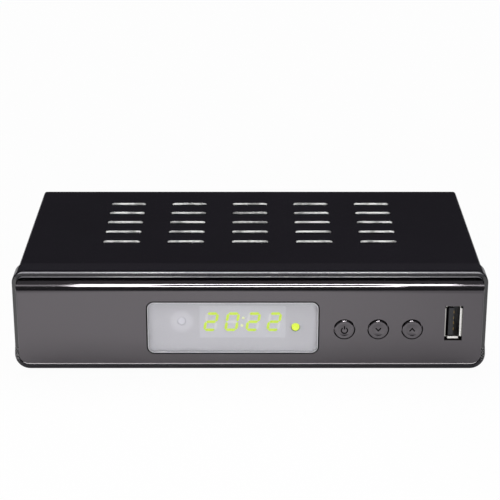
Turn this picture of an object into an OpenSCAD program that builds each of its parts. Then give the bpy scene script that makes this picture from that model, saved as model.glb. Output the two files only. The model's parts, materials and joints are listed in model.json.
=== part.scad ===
// Slim digital TV receiver for a table or shelf: a slotted steel case, a moulded front with a clock display,
// three push buttons and a USB socket, and the boards and sockets inside.
// X runs to the right of the front, Y from the front to the rear and Z up, in millimetres.
// The pieces are drawn with the flat face of the fascia at y = 0 and the table at z = 0.
// in_place() then brings the origin under the middle of the whole part, on the table.

/* [Steel case] */
// Width over the folded cover
case_w = 176.6; // [160:0.1:220]
// Depth from the fascia's face to the outside of the rear wall
case_d = 95.5; // [86:0.5:150]
// Height from the underside of the chassis to the top of the cover
case_h = 37.4; // [34:0.1:60]
// Thickness of the sheet steel
sheet_t = 0.8; // [0.6:0.1:1]
// Outside radius of the folds
fold_r = 1.4; // [1.2:0.1:2.5]
// Height of the chassis' upturned sides
side_lip_h = 10; // [9.5:0.5:13]
// Height of the chassis' upturned front
front_lip_h = 5.4; // [5:0.1:5.8]
// Clearance between pieces that fit together
slip = 0.15; // [0.05:0.05:0.25]
// Reach of the cover's tongues into the front frame
tongue_d = 4; // [2:0.5:4.5]
// Lap of the tongues under the cover's own sheet
tongue_lap = 2.5; // [1.5:0.5:4]
// Distance of the tongues' ends from the cover's corners
tongue_end = 9; // [6:0.5:12]

/* [Vent slots] */
// Columns of slots in the cover
vent_cols = 5; // [3:1:5]
// Rows of slots
vent_rows = 5; // [3:1:5]
// Length of a slot
vent_len = 14.5; // [8:0.5:18]
// Width of a slot
vent_w = 3; // [2:0.1:4]
// Spacing of the columns
vent_col_pitch = 25.4; // [20:0.1:32]
// Spacing of the rows
vent_row_pitch = 11; // [8:0.1:12]
// Distance of the first row behind the fascia's face
vent_start = 35.7; // [25:0.1:40]
// Columns of slots in the chassis' base
base_vent_cols = 3; // [1:1:3]

/* [Feet] */
// Height of the rubber feet
foot_h = 3; // [2:0.5:8]
// Radius of the rubber feet
foot_r = 6; // [4:0.5:8]
// Chamfer round the underside of the feet
foot_chamfer = 0.75; // [0.2:0.05:1.5]
// Distance of the feet's middles from the case's sides
foot_side = 14; // [9:0.5:30]
// Distance of the feet's middles from the front frame and the rear wall
foot_end = 11; // [9:0.5:25]

/* [Screws] */
// Shank radius of the cover's screws
cover_screw_r = 1.4; // [1:0.1:1.8]
// Head radius of the cover's screws
cover_head_r = 2.6; // [2.2:0.1:3.2]
// Reach of the cover's screws past the chassis' sides
cover_screw_out = 2; // [1:0.1:4]
// Height of the cover's screws above the underside of the chassis
cover_screw_up = 5.2; // [4:0.1:6]
// Distance of the cover's screws from the front frame and the rear wall
cover_screw_end = 14; // [10:0.5:25]
// Shank radius of the boards' screws
board_screw_r = 1.1; // [0.8:0.1:1.3]
// Head radius of the boards' screws
board_head_r = 2.2; // [1.8:0.1:2.6]
// Space between the tips of the boards' screws and the foot of their bosses
board_screw_tip = 1; // [0.5:0.1:2]
// Height of every screw head
head_h = 1.4; // [1:0.1:1.6]
// Narrowing of the heads towards their tops
head_taper = 0.5; // [0:0.1:0.8]
// Width of the cross recess
recess_w = 0.65; // [0.4:0.05:0.8]
// Clearance round a shank in the piece that it clamps
shank_gap = 0.2; // [0.1:0.05:0.4]
// Clearance round a shank in the piece that it bites into
thread_gap = 0.05; // [0.02:0.01:0.1]

/* [Front frame] */
// Overhang of the front frame at each side of the cover
bezel_over = 1.7; // [1.5:0.1:4]
// Height of the front frame above the cover
bezel_rise = 0.4; // [0.2:0.1:2]
// Depth of the front frame below the chassis
bezel_drop = 1; // [0.5:0.1:1.8]
// Depth from the fascia's face to the rear edge of the frame
bezel_d = 11.8; // [11:0.1:12.6]
// Wall of the front frame
bezel_wall = 1.8; // [1.4:0.1:2.2]
// Corner radius at the top of the frame
bezel_r_top = 4.5; // [4:0.1:6]
// Corner radius at the foot of the frame
bezel_r_low = 5.7; // [4:0.1:8]
// Set-back of the rim behind the fascia's face
rim_set = 2.8; // [2.4:0.1:3.2]
// Width of the rim round the fascia
rim_w = 1.6; // [1:0.1:2]
// Height of the ledge under the top of the rim
ledge_w = 0.4; // [0.4:0.1:1.2]
// Gap between the ledge and the top of the fascia
ledge_gap = 0.4; // [0.1:0.1:0.6]
// How far the ledge stands proud of the rim
ledge_out = 0.5; // [0.2:0.1:0.8]
// Rounding of the ledge's front edge
ledge_edge = 0.4; // [0.2:0.05:0.5]
// How far the chin under the fascia stands proud of the rim
chin_out = 2.7; // [2:0.1:2.8]
// Depth of the chin below the foot of the frame
chin_drop = 0.5; // [0.2:0.1:0.8]
// Rounding of the chin's front edge
chin_edge = 1.9; // [1:0.1:2]
// Height over which the chin runs back to the rim at the sides
chin_rise = 7; // [4:0.5:10]
// Rounding of the rim's front edge
rim_edge = 0.6; // [0.3:0.1:0.8]
// Distance of the shadow groove behind the rim's front
groove_set = 1.3; // [0.9:0.1:1.6]
// Width of the shadow groove
groove_w = 0.5; // [0.3:0.1:0.8]
// Depth of the shadow groove
groove_d = 0.35; // [0.2:0.05:0.5]
// Thickness of the stiffening ribs
rib_t = 1; // [0.8:0.1:1.4]
// Depth of the stiffening ribs
rib_d = 3; // [2:0.1:4]
// Gap round the display, the lamp and the remote receiver in the frame's front wall
opening_gap = 0.8; // [0.4:0.1:1.2]

/* [Snap hooks] */
// Width of the lower hooks
hook_w = 8; // [5:0.5:12]
// Thickness of the hooks
hook_t = 1.3; // [1:0.1:1.5]
// Distance of the outer lower hooks from the chassis' sides
hook_side = 26; // [15:0.5:40]
// Height of the lower hooks above the chassis' base
hook_up = 1.4; // [1.1:0.1:1.6]
// Height of the side hooks above the chassis' base
side_hook_up = 1.6; // [1:0.1:2]
// Height of a side hook's arm
side_hook_h = 4; // [3:0.1:4.6]
// Reach of the side hooks past the frame, up to their barbs
side_hook_out = 3.5; // [2.5:0.1:6]
// Length of the hooks' barbs
barb_l = 1.8; // [1:0.1:2.5]
// Height of the hooks' barbs
barb_h = 0.7; // [0.4:0.1:0.8]
// Clearance round the hooks in their windows
hook_gap = 0.3; // [0.2:0.05:0.5]

/* [Fascia] */
// Wall of the fascia
fascia_wall = 2; // [1.6:0.1:2.4]
// Depth of the fascia's edge inside the frame
fascia_seat = 2; // [1.6:0.1:2.4]
// Radius of the rolled top edge
roll_r = 5; // [4:0.1:6]
// Rounding of the other front edges
fascia_edge = 0.6; // [0.3:0.1:1]
// Radius of the stakes that hold the fascia to the frame
stake_r = 1.3; // [0.8:0.1:1.6]
// Reach of the stakes past the frame's front wall
stake_out = 1; // [0.5:0.1:1.5]
// Distance of the outermost stakes from the fascia's left side
stake_side = 12; // [8:0.5:16]
// Gap between the window's lip and the stakes to the left of it
stake_to_window = 5; // [2:0.5:8]
// Distance of the last stakes from the middle of the USB socket
stake_to_usb = 5.5; // [5.2:0.1:6]
// Height of the lower stakes above the foot of the frame
stake_up = 6; // [5:0.1:7]
// Distance of the upper stakes below the rolled edge
stake_down = 2; // [1.5:0.1:3]

/* [Display window] */
// Width of the window's opening
window_w = 65.7; // [58:0.1:80]
// Height of the window's opening
window_h = 21.7; // [18:0.1:23]
// Corner radius of the window
window_r = 3; // [1:0.1:5]
// Height of the window's middle above the foot of the frame
window_up = 17.1; // [16:0.1:18]
// Gap between the window's opening and the middle of the first button
window_to_button = 9.5; // [8.5:0.1:16]
// Gap between the window and the edge of its opening
window_gap = 0.45; // [0.1:0.05:0.5]
// How far the window stands proud of the fascia
window_proud = 0.25; // [0.1:0.05:0.5]
// Rounding of the window's front edge
window_edge = 0.4; // [0.2:0.1:0.6]
// Width of the lip behind the fascia
window_lip = 1.2; // [0.8:0.1:1.8]
// Thickness of the lip
window_lip_t = 1; // [0.6:0.1:1.2]

/* [Buttons] */
// Radius of a button's cap
button_r = 3.75; // [3:0.05:4.2]
// Spacing of the buttons
button_pitch = 12.85; // [11.5:0.05:16]
// Gap between the middles of the last button and the USB socket
button_to_usb = 15.66; // [13.5:0.02:20]
// Height of the buttons above the foot of the frame
button_up = 16.5; // [13:0.1:20]
// How far the caps stand proud of the fascia
button_proud = 0.6; // [0.5:0.05:1]
// Rounding of the caps' front edge
button_edge = 0.45; // [0.2:0.05:0.6]
// Radius of the finger dish in the caps
dish_r = 2.5; // [2:0.1:2.8]
// Depth of the finger dish
dish_d = 0.32; // [0.1:0.02:0.4]
// Clearance round the caps, their keys and their stems
button_gap = 0.4; // [0.2:0.05:0.5]
// Travel of the buttons
button_travel = 0.5; // [0.3:0.05:0.6]
// Width of the caps' retaining flange
flange_w = 1.1; // [0.8:0.1:1.3]
// Thickness of the retaining flange
flange_t = 1; // [0.8:0.1:1.2]
// Radius of the buttons' stems
stem_r = 1.5; // [1:0.1:2]
// Width of the key that stops a cap from turning
key_w = 1.6; // [1:0.1:2]
// Reach of the key past the flange
key_out = 1.2; // [0.8:0.1:1.4]

/* [Tact switches] */
// Side of a switch's square body
switch_w = 6; // [5:0.1:7]
// Depth of a switch's body
switch_h = 3.5; // [3.2:0.1:3.6]
// Radius of a switch's plunger
plunger_r = 1.75; // [1.5:0.05:1.8]
// Reach of the plunger out of the body
plunger_out = 1.5; // [1.2:0.1:1.6]
// Reach of the plunger into the body
plunger_in = 1.2; // [1:0.1:1.6]
// Running clearance of the plunger
plunger_gap = 0.06; // [0.03:0.01:0.08]

/* [USB socket] */
// Distance of the socket's middle from the frame's right side
usb_in = 12.8; // [12:0.1:20]
// Height of the socket's middle above the foot of the frame
usb_up = 19; // [16:0.1:20]
// Outside width of the shell
usb_w = 5.7; // [5.6:0.1:5.9]
// Outside height of the shell
usb_h = 13.15; // [13:0.05:13.4]
// Wall of the shell
usb_wall = 0.35; // [0.3:0.05:0.5]
// Corner radius of the shell
usb_corner = 0.8; // [0.6:0.1:1]
// Gap between the shell and the fascia's cut-out
usb_gap = 0.5; // [0.3:0.05:1]
// Set-back of the shell behind the fascia's face
usb_set = 1; // [0.1:0.1:1.4]
// Length of the flared lips at the shell's mouth
usb_lip_l = 1; // [0.5:0.1:1.5]
// Flare of the lips
usb_flare = 0.4; // [0.1:0.05:0.5]
// Thickness of the tongue
usb_tongue_t = 1.85; // [1.7:0.05:2]
// Width of the tongue
usb_tongue_w = 11.1; // [10.8:0.1:11.3]
// Set-back of the tongue behind the shell's mouth
usb_tongue_set = 0.8; // [0.5:0.1:1.5]
// Space between the tongue and the shell on the contacts' side
usb_free = 2.4; // [2.2:0.05:2.5]
// Thickness of the block that closes the shell's rear
usb_base_t = 2.4; // [1.5:0.1:3]
// Heights of the contacts from the socket's middle
usb_contact_zs = [-3.5, -1, 1, 3.5]; // [-4:0.1:4]
// Width of a contact
usb_contact_w = 1; // [0.6:0.1:1.4]
// Thickness of a contact
usb_contact_t = 0.25; // [0.15:0.05:0.4]
// Set-back of the contacts behind the tongue's tip
usb_contact_set = 1; // [0.5:0.1:2]

/* [Clock display] */
// Width of the display module
display_w = 33.5; // [32:0.1:36]
// Height of the display module
display_h = 14; // [12:0.1:14.5]
// Depth from the digits' faces to the front board
display_d = 8.6; // [8.4:0.1:8.8]
// Gap between the window and the digits' faces
display_gap = 0.1; // [0.05:0.05:0.3]
// How far the digits stand proud of the display module
segment_proud = 0.1; // [0.05:0.05:0.2]
// Distance of the display's middle to the right of the window's middle
display_off = 3.7; // [0:0.1:6]
// Height of the display's middle above the foot of the frame
display_up = 18.8; // [17:0.1:19]
// Figures that are lit
shown_digits = [2, 0, 2, 2]; // [0:1:9]
// Height of a digit
digit_h = 7.7; // [6:0.1:8.5]
// Width of a digit before it is slanted
digit_w = 5; // [4:0.1:5.2]
// Spacing of the digits
digit_pitch = 8; // [7.4:0.01:8.2]
// Slant of the digits
digit_slant = 9; // [0:1:12]
// Width of a segment
segment_w = 1; // [0.6:0.05:1.2]
// Gap between the ends of the segments
segment_gap = 0.25; // [0.1:0.05:0.4]
// Thickness of a segment
segment_t = 0.5; // [0.3:0.05:1]
// Radius of the colon's dots
colon_r = 0.5; // [0.3:0.05:0.6]
// Spacing of the colon's dots
colon_pitch = 3.1; // [2:0.1:4]

/* [Lamp and remote receiver] */
// Radius of the status lamp
lamp_r = 1.5; // [1:0.05:1.6]
// Length of the lamp from its tip to its collar
lamp_l = 6.6; // [3:0.1:7]
// Rounding of the lamp's tip
lamp_edge = 0.2; // [0.1:0.05:0.8]
// Width of the lamp's collar
collar_w = 0.4; // [0.2:0.1:0.5]
// Thickness of the lamp's collar
collar_t = 1; // [0.6:0.1:1.2]
// Spacing of the lamp's two leads
lead_pitch = 1.2; // [1:0.1:1.6]
// Thickness of every lead
lead_t = 0.5; // [0.3:0.1:0.6]
// Distance of the lamp's middle from the display module
lamp_off = 3.4; // [2.6:0.1:4]
// Height of the lamp above the foot of the frame
lamp_up = 16.5; // [12:0.1:20]
// Distance of the remote receiver's middle from the display module
eye_off = 6.4; // [4.5:0.1:9]
// Height of the remote receiver above the foot of the frame
eye_up = 19; // [16:0.1:20]
// Width of the remote receiver
eye_w = 5.6; // [5:0.1:6.4]
// Height of the remote receiver
eye_h = 6.8; // [6:0.1:7.5]
// Depth of the remote receiver's body
eye_d = 4.4; // [3.5:0.1:5]
// Radius of the remote receiver's lens
eye_r = 2.4; // [1.8:0.1:2.5]
// Reach of the lens out of the body
eye_bulge = 1.3; // [0.8:0.1:1.8]
// Spacing of the remote receiver's three leads
eye_pitch = 2; // [1.5:0.1:2.2]

/* [Boards] */
// Thickness of the boards
board_t = 1.6; // [1:0.1:1.8]
// Height of the standoffs under the main board
standoff_h = 5; // [4:0.1:5.4]
// Radius of the standoffs
standoff_r = 3; // [2.4:0.1:3.2]
// Gap between the main board and the chassis' sides
board_side = 4; // [3:0.1:6]
// Gap between the main board and the front board
board_front_gap = 3.2; // [2:0.1:6]
// Gap between the main board and the rear wall
board_rear_gap = 2.2; // [1:0.1:4]
// Distance of the front screws from the main board's corner, both ways
fixing_in = 6; // [4:0.1:10]
// Distance of the rear screws from the main board's rear edge
fixing_rear = 12; // [8:0.1:20]
// Height of the front board's lower edge above the foot of the frame
front_board_low = 7.2; // [6.8:0.1:7.6]
// Height of the front board
front_board_h = 24; // [22:0.1:26]
// Distance of the front board's left end from the remote receiver's middle
front_board_left = 10; // [8:0.1:20]
// Distance of the front board's right end from the USB socket's middle
front_board_right = 5; // [4:0.1:8]
// Distance of the front board's screws from its edges
front_screw_in = 3.5; // [3:0.1:4.5]
// Radius of the bosses behind the frame's front wall
boss_r = 2.6; // [2:0.1:3]

/* [Link between the boards] */
// Pins in the link
link_count = 10; // [4:1:12]
// Spacing of the pins
link_pitch = 2; // [1.5:0.1:2.1]
// Thickness of the pins
link_pin_t = 0.6; // [0.4:0.05:0.8]
// Width and height of the pins' housing
link_d = 2.5; // [2:0.1:3]
// Distance of the housing from the main board's front edge
link_in = 1; // [0.5:0.1:3]
// Reach of the pins past the front board
link_out = 1; // [0.5:0.1:2]

/* [Chips] */
// Distance of the decoder chip to the right of the middle
chip_x = 6; // [-5:0.5:12]
// Distance of the decoder chip's middle from the main board's front edge
chip_in = 30; // [24:0.5:34]
// Size of the decoder chip
chip_size = [17, 17, 1.5]; // [1:0.1:24]
// Side of the heat sink
sink_w = 26; // [18:0.5:30]
// Height of the heat sink's fins
sink_h = 9; // [5:0.5:14]
// Thickness of the heat sink's base
sink_base = 2; // [1:0.1:3]
// Number of fins
fin_count = 7; // [4:1:9]
// Thickness of a fin
fin_t = 1.2; // [0.8:0.1:1.6]
// Size of the memory chip
memory_size = [9, 13, 1.2]; // [1:0.1:16]
// Gap between the heat sink and the memory chip
memory_gap = 8; // [2:0.5:14]
// Size of the program memory
flash_size = [5.3, 5.3, 1.8]; // [1:0.1:8]
// Gap between the heat sink and the program memory
flash_gap = 8; // [2:0.5:10]
// Length of the crystal's can
crystal_l = 10.4; // [8:0.1:12]
// Width of the crystal's can
crystal_w = 4.6; // [3:0.1:5]
// Height of the crystal's can
crystal_h = 3.5; // [2.5:0.1:4]
// Gap between the heat sink's front and the crystal
crystal_gap = 5; // [1:0.5:7]

/* [Power parts] */
// Distance of the capacitors from the main board's rear edge
can_in = 30; // [26:0.5:34]
// Distances of the capacitors to the left of the power inlet
can_offs = [0, 13, 24]; // [0:0.5:30]
// Radii of the capacitors
can_rs = [5, 4, 4]; // [3:0.5:5]
// Heights of the capacitors
can_hs = [15, 12, 12]; // [8:0.5:17]
// Height of the groove rolled round a capacitor
can_neck = 1.6; // [1:0.1:2.5]
// Depth and width of that groove
can_groove = 0.4; // [0.2:0.1:0.6]
// Distance of the inductors from the main board's front edge
coil_in = 24; // [20:0.5:26]
// Distances of the inductors to the left of the power inlet
coil_offs = [2, 16]; // [0:0.5:20]
// Side of an inductor's base
coil_w = 8; // [6:0.1:10]
// Thickness of an inductor's base
coil_base = 1; // [0.6:0.1:1.6]
// Height of an inductor
coil_h = 4; // [3:0.1:6]
// Distance of the regulators from the main board's front edge
regulator_in = 10; // [8:0.5:12]
// Distances of the regulators to the left of the power inlet
regulator_offs = [6, 18]; // [4:0.5:24]
// Size of a regulator's body
regulator_size = [6.5, 6, 2.3]; // [1:0.1:8]
// Size of a regulator's tab
tab_size = [5.2, 2, 0.6]; // [0.4:0.1:6]

/* [Aerial sockets] */
// Width of the tuner can
tuner_w = 30; // [28:0.5:34]
// Depth of the tuner can
tuner_d = 32; // [24:0.5:36]
// Height of the tuner can
tuner_h = 14; // [13:0.5:17]
// Thickness of the can's lid and of the lid's tabs
lid_t = 0.5; // [0.3:0.1:0.8]
// Width of the lid's tabs
lid_tab_w = 3; // [2:0.5:5]
// Length of the lid's tabs
lid_tab_l = 4; // [2:0.5:8]
// Spacing of the two sockets
aerial_pitch = 15.5; // [14.5:0.1:16.5]
// Reach of the sockets past the rear wall
aerial_out = 9; // [6:0.5:12]
// Radius of the sockets' flanges
aerial_flange_r = 5.9; // [5.7:0.1:6.1]
// Thickness of the sockets' flanges
aerial_flange_t = 1.2; // [1:0.1:2]
// Inside radius of the input's sleeve
aerial_in_r = 4.8; // [4.7:0.05:4.9]
// Outside radius of the output's sleeve
aerial_out_r = 4.75; // [4.6:0.05:4.8]
// Wall of the sleeves
aerial_wall = 0.65; // [0.5:0.05:0.8]
// Thickness of the insulating discs
aerial_disc_t = 2; // [1:0.1:3]
// Outside radius of the input's contact
aerial_contact_r = 1.9; // [1.7:0.05:2.2]
// Inside radius of the input's contact
aerial_contact_bore = 1.2; // [1.15:0.05:1.3]
// Set-back of the input's contact behind the sleeve's end
aerial_contact_set = 1; // [0.5:0.1:2]
// Width of the slit in the input's contact
aerial_slit = 0.4; // [0.2:0.1:0.6]
// Unslit length of the input's contact
aerial_unslit = 3; // [1:0.1:4]
// Radius of the output's pin
aerial_pin_r = 1.18; // [1.1:0.01:1.2]
// Rounding of the output's pin
aerial_pin_edge = 0.6; // [0.2:0.1:1]

/* [Digital audio socket] */
// Width of the socket's body
audio_w = 10.5; // [10.3:0.1:12]
// Height of the socket's body
audio_h = 12; // [11.5:0.1:14]
// Depth of the socket's body
audio_d = 12; // [8:0.5:16]
// Outside radius of the sleeve
audio_r = 4.15; // [4.1:0.05:4.2]
// Wall of the sleeve
audio_wall = 0.5; // [0.3:0.05:0.7]
// Width of the shoulder round the sleeve
audio_shoulder = 0.9; // [0.5:0.1:0.9]
// Reach of the shoulder past the rear wall
audio_shoulder_out = 0.5; // [0.3:0.1:1]
// Reach of the sleeve past the rear wall
audio_out = 8.5; // [7:0.5:10]
// Radius of the centre contact's opening
audio_bore = 1.6; // [1.55:0.05:1.7]
// Set-back of the insert behind the sleeve's end
audio_insert_set = 1; // [0.3:0.1:2]

/* [Video socket] */
// Width of the shell
video_w = 15; // [14.6:0.1:15.4]
// Height of the shell
video_h = 5.6; // [5.4:0.1:6]
// Depth of the shell
video_d = 12; // [10:0.1:14]
// Wall of the shell
video_wall = 0.4; // [0.3:0.05:0.5]
// Size of the cut-off lower corners
video_slope = 2.4; // [1.8:0.1:2.6]
// Reach of the shell past the rear wall
video_out = 0.5; // [0.2:0.1:1]
// Width of the tongue
video_tongue_w = 10.8; // [10:0.1:11]
// Thickness of the tongue
video_tongue_t = 1.2; // [1:0.05:1.4]
// Height of the tongue's middle above the shell's middle
video_tongue_up = 0.3; // [0:0.1:0.6]
// Set-back of the tongue behind the shell's mouth
video_tongue_set = 1.5; // [1:0.1:2]
// Thickness of the block that closes the shell's inner end
video_base_t = 4; // [2:0.1:5]

/* [Audio-video socket] */
// Width of the 21-way socket's body
av_w = 50; // [48:0.5:54]
// Height of the body
av_h = 18; // [17:0.5:20]
// Depth of the body
av_d = 12; // [10:0.5:16]
// Distance of the nose's ends from the body's ends
av_nose_in = 1.7; // [1:0.1:3]
// Distance of the nose's upper and lower sides from the body's
av_nose_low = 2.7; // [2:0.1:3]
// Lean of the nose's sloped end
av_slope = 5; // [3:0.1:6]
// Reach of the nose past the rear wall
av_out = 1.5; // [0.5:0.1:3]
// Width of the shield's groove, and of the edge outside it
av_groove = 1.2; // [0.8:0.1:1.4]
// Depth of the shield's groove
av_groove_d = 8; // [5:0.1:9]
// Slots in each of the two rows
av_count = 10; // [8:1:10]
// Spacing of the slots in a row
av_pitch = 3.81; // [3.6:0.01:3.9]
// Shift of the rows away from the sloped end
av_shift = 1.1; // [0.8:0.1:1.4]
// Distance of each row from the socket's middle
av_row = 2; // [1.9:0.05:2.1]
// Width of a slot
av_slot_w = 1.3; // [1:0.1:1.5]
// Height of a slot
av_slot_h = 3; // [2.6:0.1:3.2]
// Depth of a slot
av_slot_d = 9; // [6:0.5:10]
// Thickness of a contact leaf
av_leaf_t = 0.4; // [0.3:0.1:0.6]
// Set-back of the leaves behind the nose's face
av_leaf_set = 1.5; // [1:0.1:3]

/* [Power inlet] */
// Width of the inlet
inlet_w = 9; // [8.5:0.1:10]
// Height of the inlet
inlet_h = 11; // [9:0.1:12]
// Depth of the inlet
inlet_d = 13.5; // [12:0.1:15]
// Reach of the inlet past the rear wall
inlet_out = 0.5; // [0.2:0.1:1]
// Radius of the opening
inlet_r = 3.1; // [2.9:0.05:3.3]
// Depth of the opening
inlet_bore_d = 9.5; // [8:0.1:11]
// Radius of the pin
inlet_pin_r = 1; // [0.8:0.05:1.2]
// Rounding of the pin
inlet_pin_edge = 0.5; // [0.2:0.1:0.7]
// Set-back of the pin behind the mouth
inlet_pin_set = 1; // [0.5:0.1:2]
// Gap between every rear socket and its cut-out in the rear wall
socket_gap = 0.4; // [0.2:0.1:0.6]

/* [Hidden] */
$fn = 48;
// Overrun of the cuts
cut = 1;

// Levels
base_z = foot_h;
base_top = base_z + sheet_t;
cover_top = base_z + case_h;
bezel_z = base_z - bezel_drop;
bezel_top = cover_top + bezel_rise;
lip_top = base_z + side_lip_h;
rear_top = cover_top - sheet_t - slip;

// Steel case
chassis_w = case_w - 2 * sheet_t - 2 * slip;
rear_in = case_d - sheet_t;
cover_y = bezel_d + slip;
tongue_half = case_w / 2 - tongue_end;
cover_screw_z = base_z + cover_screw_up;
cover_screw_ys = [bezel_d + cover_screw_end, case_d - cover_screw_end];

// Front frame and fascia
bezel_w = case_w + 2 * bezel_over;
bezel_h = bezel_top - bezel_z;
fascia_in = rim_w + slip;
fascia_d = rim_set + fascia_seat;
fascia_w = bezel_w - 2 * fascia_in;
fascia_h = bezel_h - 2 * fascia_in - ledge_w - ledge_gap;
fascia_z = bezel_z + fascia_in;
fascia_r_top = bezel_r_top - fascia_in;
fascia_r_low = bezel_r_low - fascia_in;
roll_z = fascia_z + fascia_h - roll_r;
wall_back = fascia_d + bezel_wall;

// Places on the front, counted from the right side
usb_x = bezel_w / 2 - usb_in;
usb_z = bezel_z + usb_up;
last_button_x = usb_x - button_to_usb;
button_xs = [for (i = [2:-1:0]) last_button_x - i * button_pitch];
button_z = bezel_z + button_up;
dish_ball_r = (dish_r * dish_r / dish_d + dish_d) / 2;
flange_r = button_r + flange_w;
flange_y = fascia_wall + flange_t;
window_x = button_xs[0] - window_to_button - window_w / 2;
window_z = bezel_z + window_up;
display_x = window_x + display_off;
display_z = bezel_z + display_up;
lamp_x = display_x + display_w / 2 + lamp_off;
lamp_z = bezel_z + lamp_up;
eye_x = display_x - display_w / 2 - eye_off;
eye_z = bezel_z + eye_up;

// Front board, with its screws to the left of the remote receiver and beside the USB socket
digit_y = fascia_wall + window_lip_t + display_gap;
board_y = digit_y + display_d;
front_x0 = eye_x - front_board_left;
front_x1 = usb_x + front_board_right;
front_z0 = bezel_z + front_board_low;
front_z1 = front_z0 + front_board_h;
front_screws = [for (x = [front_x0 + front_screw_in, (last_button_x + usb_x) / 2],
                     z = [front_z0 + front_screw_in, front_z1 - front_screw_in]) [x, z]];
switch_y = board_y - switch_h;
plunger_y = switch_y - plunger_out;

// USB socket's tongue
usb_tongue_x1 = usb_x + usb_w / 2 - usb_wall - usb_free;
usb_tongue_x0 = usb_tongue_x1 - usb_tongue_t;
usb_tongue_y = usb_set + usb_tongue_set;
usb_base_y = board_y - usb_base_t;

// Hooks, stakes and ribs of the front moulding
hook_xs = [for (i = [-1:1]) i * (chassis_w / 2 - hook_side)];
hook_z = base_top + hook_up;
hook_y = bezel_d + sheet_t + hook_gap;
side_hook_x = chassis_w / 2 - sheet_t - hook_gap;
side_hook_y = bezel_d + side_hook_out;
side_hook_z = base_top + side_hook_up;
stake_xs = [-fascia_w / 2 + stake_side, window_x - window_w / 2 - window_lip - stake_to_window,
            (button_xs[0] + button_xs[1]) / 2, usb_x + stake_to_usb];
stake_zs = [bezel_z + stake_up, roll_z - stake_down];
rib_xs = [for (i = [1, 2]) stake_xs[0] + i * (stake_xs[1] - stake_xs[0]) / 3];

// Main board
board_w = chassis_w - 2 * sheet_t - 2 * board_side;
main_y0 = board_y + board_t + board_front_gap;
main_y1 = rear_in - board_rear_gap;
main_z = base_top + standoff_h;
main_top = main_z + board_t;

// Link between the boards, midway between the lamp and the first button
link_x = (lamp_x + button_xs[0]) / 2;
link_y = main_y0 + link_in;
link_z = main_top + link_d / 2;

// Pieces on the main board
chip_y = main_y0 + chip_in;
memory_x = chip_x - sink_w / 2 - memory_gap - memory_size[0] / 2;
flash_x = chip_x + sink_w / 2 + flash_gap + flash_size[0] / 2;
crystal_x = chip_x - sink_w / 2 + crystal_l / 2;
crystal_y = chip_y - sink_w / 2 - crystal_gap - crystal_w / 2;

// Rear sockets, which share out the board's width
rear_gap = (board_w - tuner_w - audio_w - video_w - av_w - inlet_w) / 6;
tuner_x = -board_w / 2 + rear_gap + tuner_w / 2;
audio_x = tuner_x + tuner_w / 2 + rear_gap + audio_w / 2;
video_x = audio_x + audio_w / 2 + rear_gap + video_w / 2;
av_x = video_x + video_w / 2 + rear_gap + av_w / 2;
inlet_x = av_x + av_w / 2 + rear_gap + inlet_w / 2;
tuner_y1 = rear_in - slip;
tuner_y0 = tuner_y1 - tuner_d;
tuner_top = main_top + tuner_h;
aerial_in_x = tuner_x - aerial_pitch / 2;
aerial_out_x = tuner_x + aerial_pitch / 2;
aerial_z = main_top + tuner_h / 2;
aerial_sleeve_y = tuner_y1 + aerial_flange_t;
aerial_disc_y = aerial_sleeve_y + aerial_disc_t;
aerial_y1 = case_d + aerial_out;
audio_z = main_top + audio_h / 2;
audio_shoulder_r = audio_r + audio_shoulder;
audio_sleeve_y = case_d + audio_shoulder_out;
audio_y1 = case_d + audio_out;
video_y1 = case_d + video_out;
video_y0 = video_y1 - video_d;
av_z = main_top + av_h / 2;
av_y1 = case_d + av_out;
inlet_z = main_top + inlet_h / 2;
inlet_y1 = case_d + inlet_out;
inlet_bore_y = inlet_y1 - inlet_bore_d;

// Middles of the main board's screws
fixings = [[-board_w / 2 + fixing_in, main_y0 + fixing_in], [board_w / 2 - fixing_in, main_y0 + fixing_in],
           [tuner_x + tuner_w / 2 + rear_gap / 2, main_y1 - fixing_rear],
           [inlet_x + inlet_w / 2 + rear_gap / 2, main_y1 - fixing_rear]];

// Overall depth, from the buttons' faces to the aerial sockets' ends
overall_d = aerial_y1 + button_proud;

// Working modules

// Brings the drawing's front face and table to the part's origin
module in_place() {
    translate([0, button_proud - overall_d / 2, 0]) children();
}

// Outline in X and Z, made solid from y0 to y1
module along_y(y0, y1) {
    translate([0, y1, 0]) rotate([90, 0, 0]) linear_extrude(y1 - y0) children();
}

// Outline in Y and Z, made solid from x0 to x1
module along_x(x0, x1) {
    translate([x0, 0, 0]) rotate([90, 0, 90]) linear_extrude(x1 - x0) children();
}

// Profile of radius and depth, turned about the Y axis
module turned_y() {
    rotate([-90, 0, 0]) rotate_extrude() children();
}

// Round bar along Y
module rod_y(r, y0, y1) {
    translate([0, y0, 0]) rotate([-90, 0, 0]) cylinder(r = r, h = y1 - y0);
}

// Tube along Y
module tube_y(r_out, r_in, y0, y1) {
    difference() {
        rod_y(r_out, y0, y1);
        rod_y(r_in, y0 - cut, y1 + cut);
    }
}

// Children at a place on the front, given in X and Z
module at_xz(x, z) {
    translate([x, 0, z]) children();
}

// Block from one corner to the opposite one
module block(low, high) {
    translate(low) cube(high - low);
}

// Block that stands on the main board, with its middle at x and y
module on_board(x, y, size, up = 0) {
    translate([x - size[0] / 2, y - size[1] / 2, main_top + up]) cube(size);
}

// Piece and its copy on the other side
module both_sides() {
    for (side = [0, 1]) mirror([side, 0, 0]) children();
}

// Rectangle with rounded corners, standing on the middle of its lower side
module rounded(w, h, r_top, r_low) {
    translate([-w / 2, r_low]) square([w, h - r_top - r_low]);
    translate([-w / 2 + r_top, h - r_top]) square([w - 2 * r_top, r_top]);
    translate([-w / 2 + r_low, 0]) square([w - 2 * r_low, r_low]);
    for (side = [-1, 1]) {
        translate([side * (w / 2 - r_top), h - r_top]) circle(r_top);
        translate([side * (w / 2 - r_low), r_low]) circle(r_low);
    }
}

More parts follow.
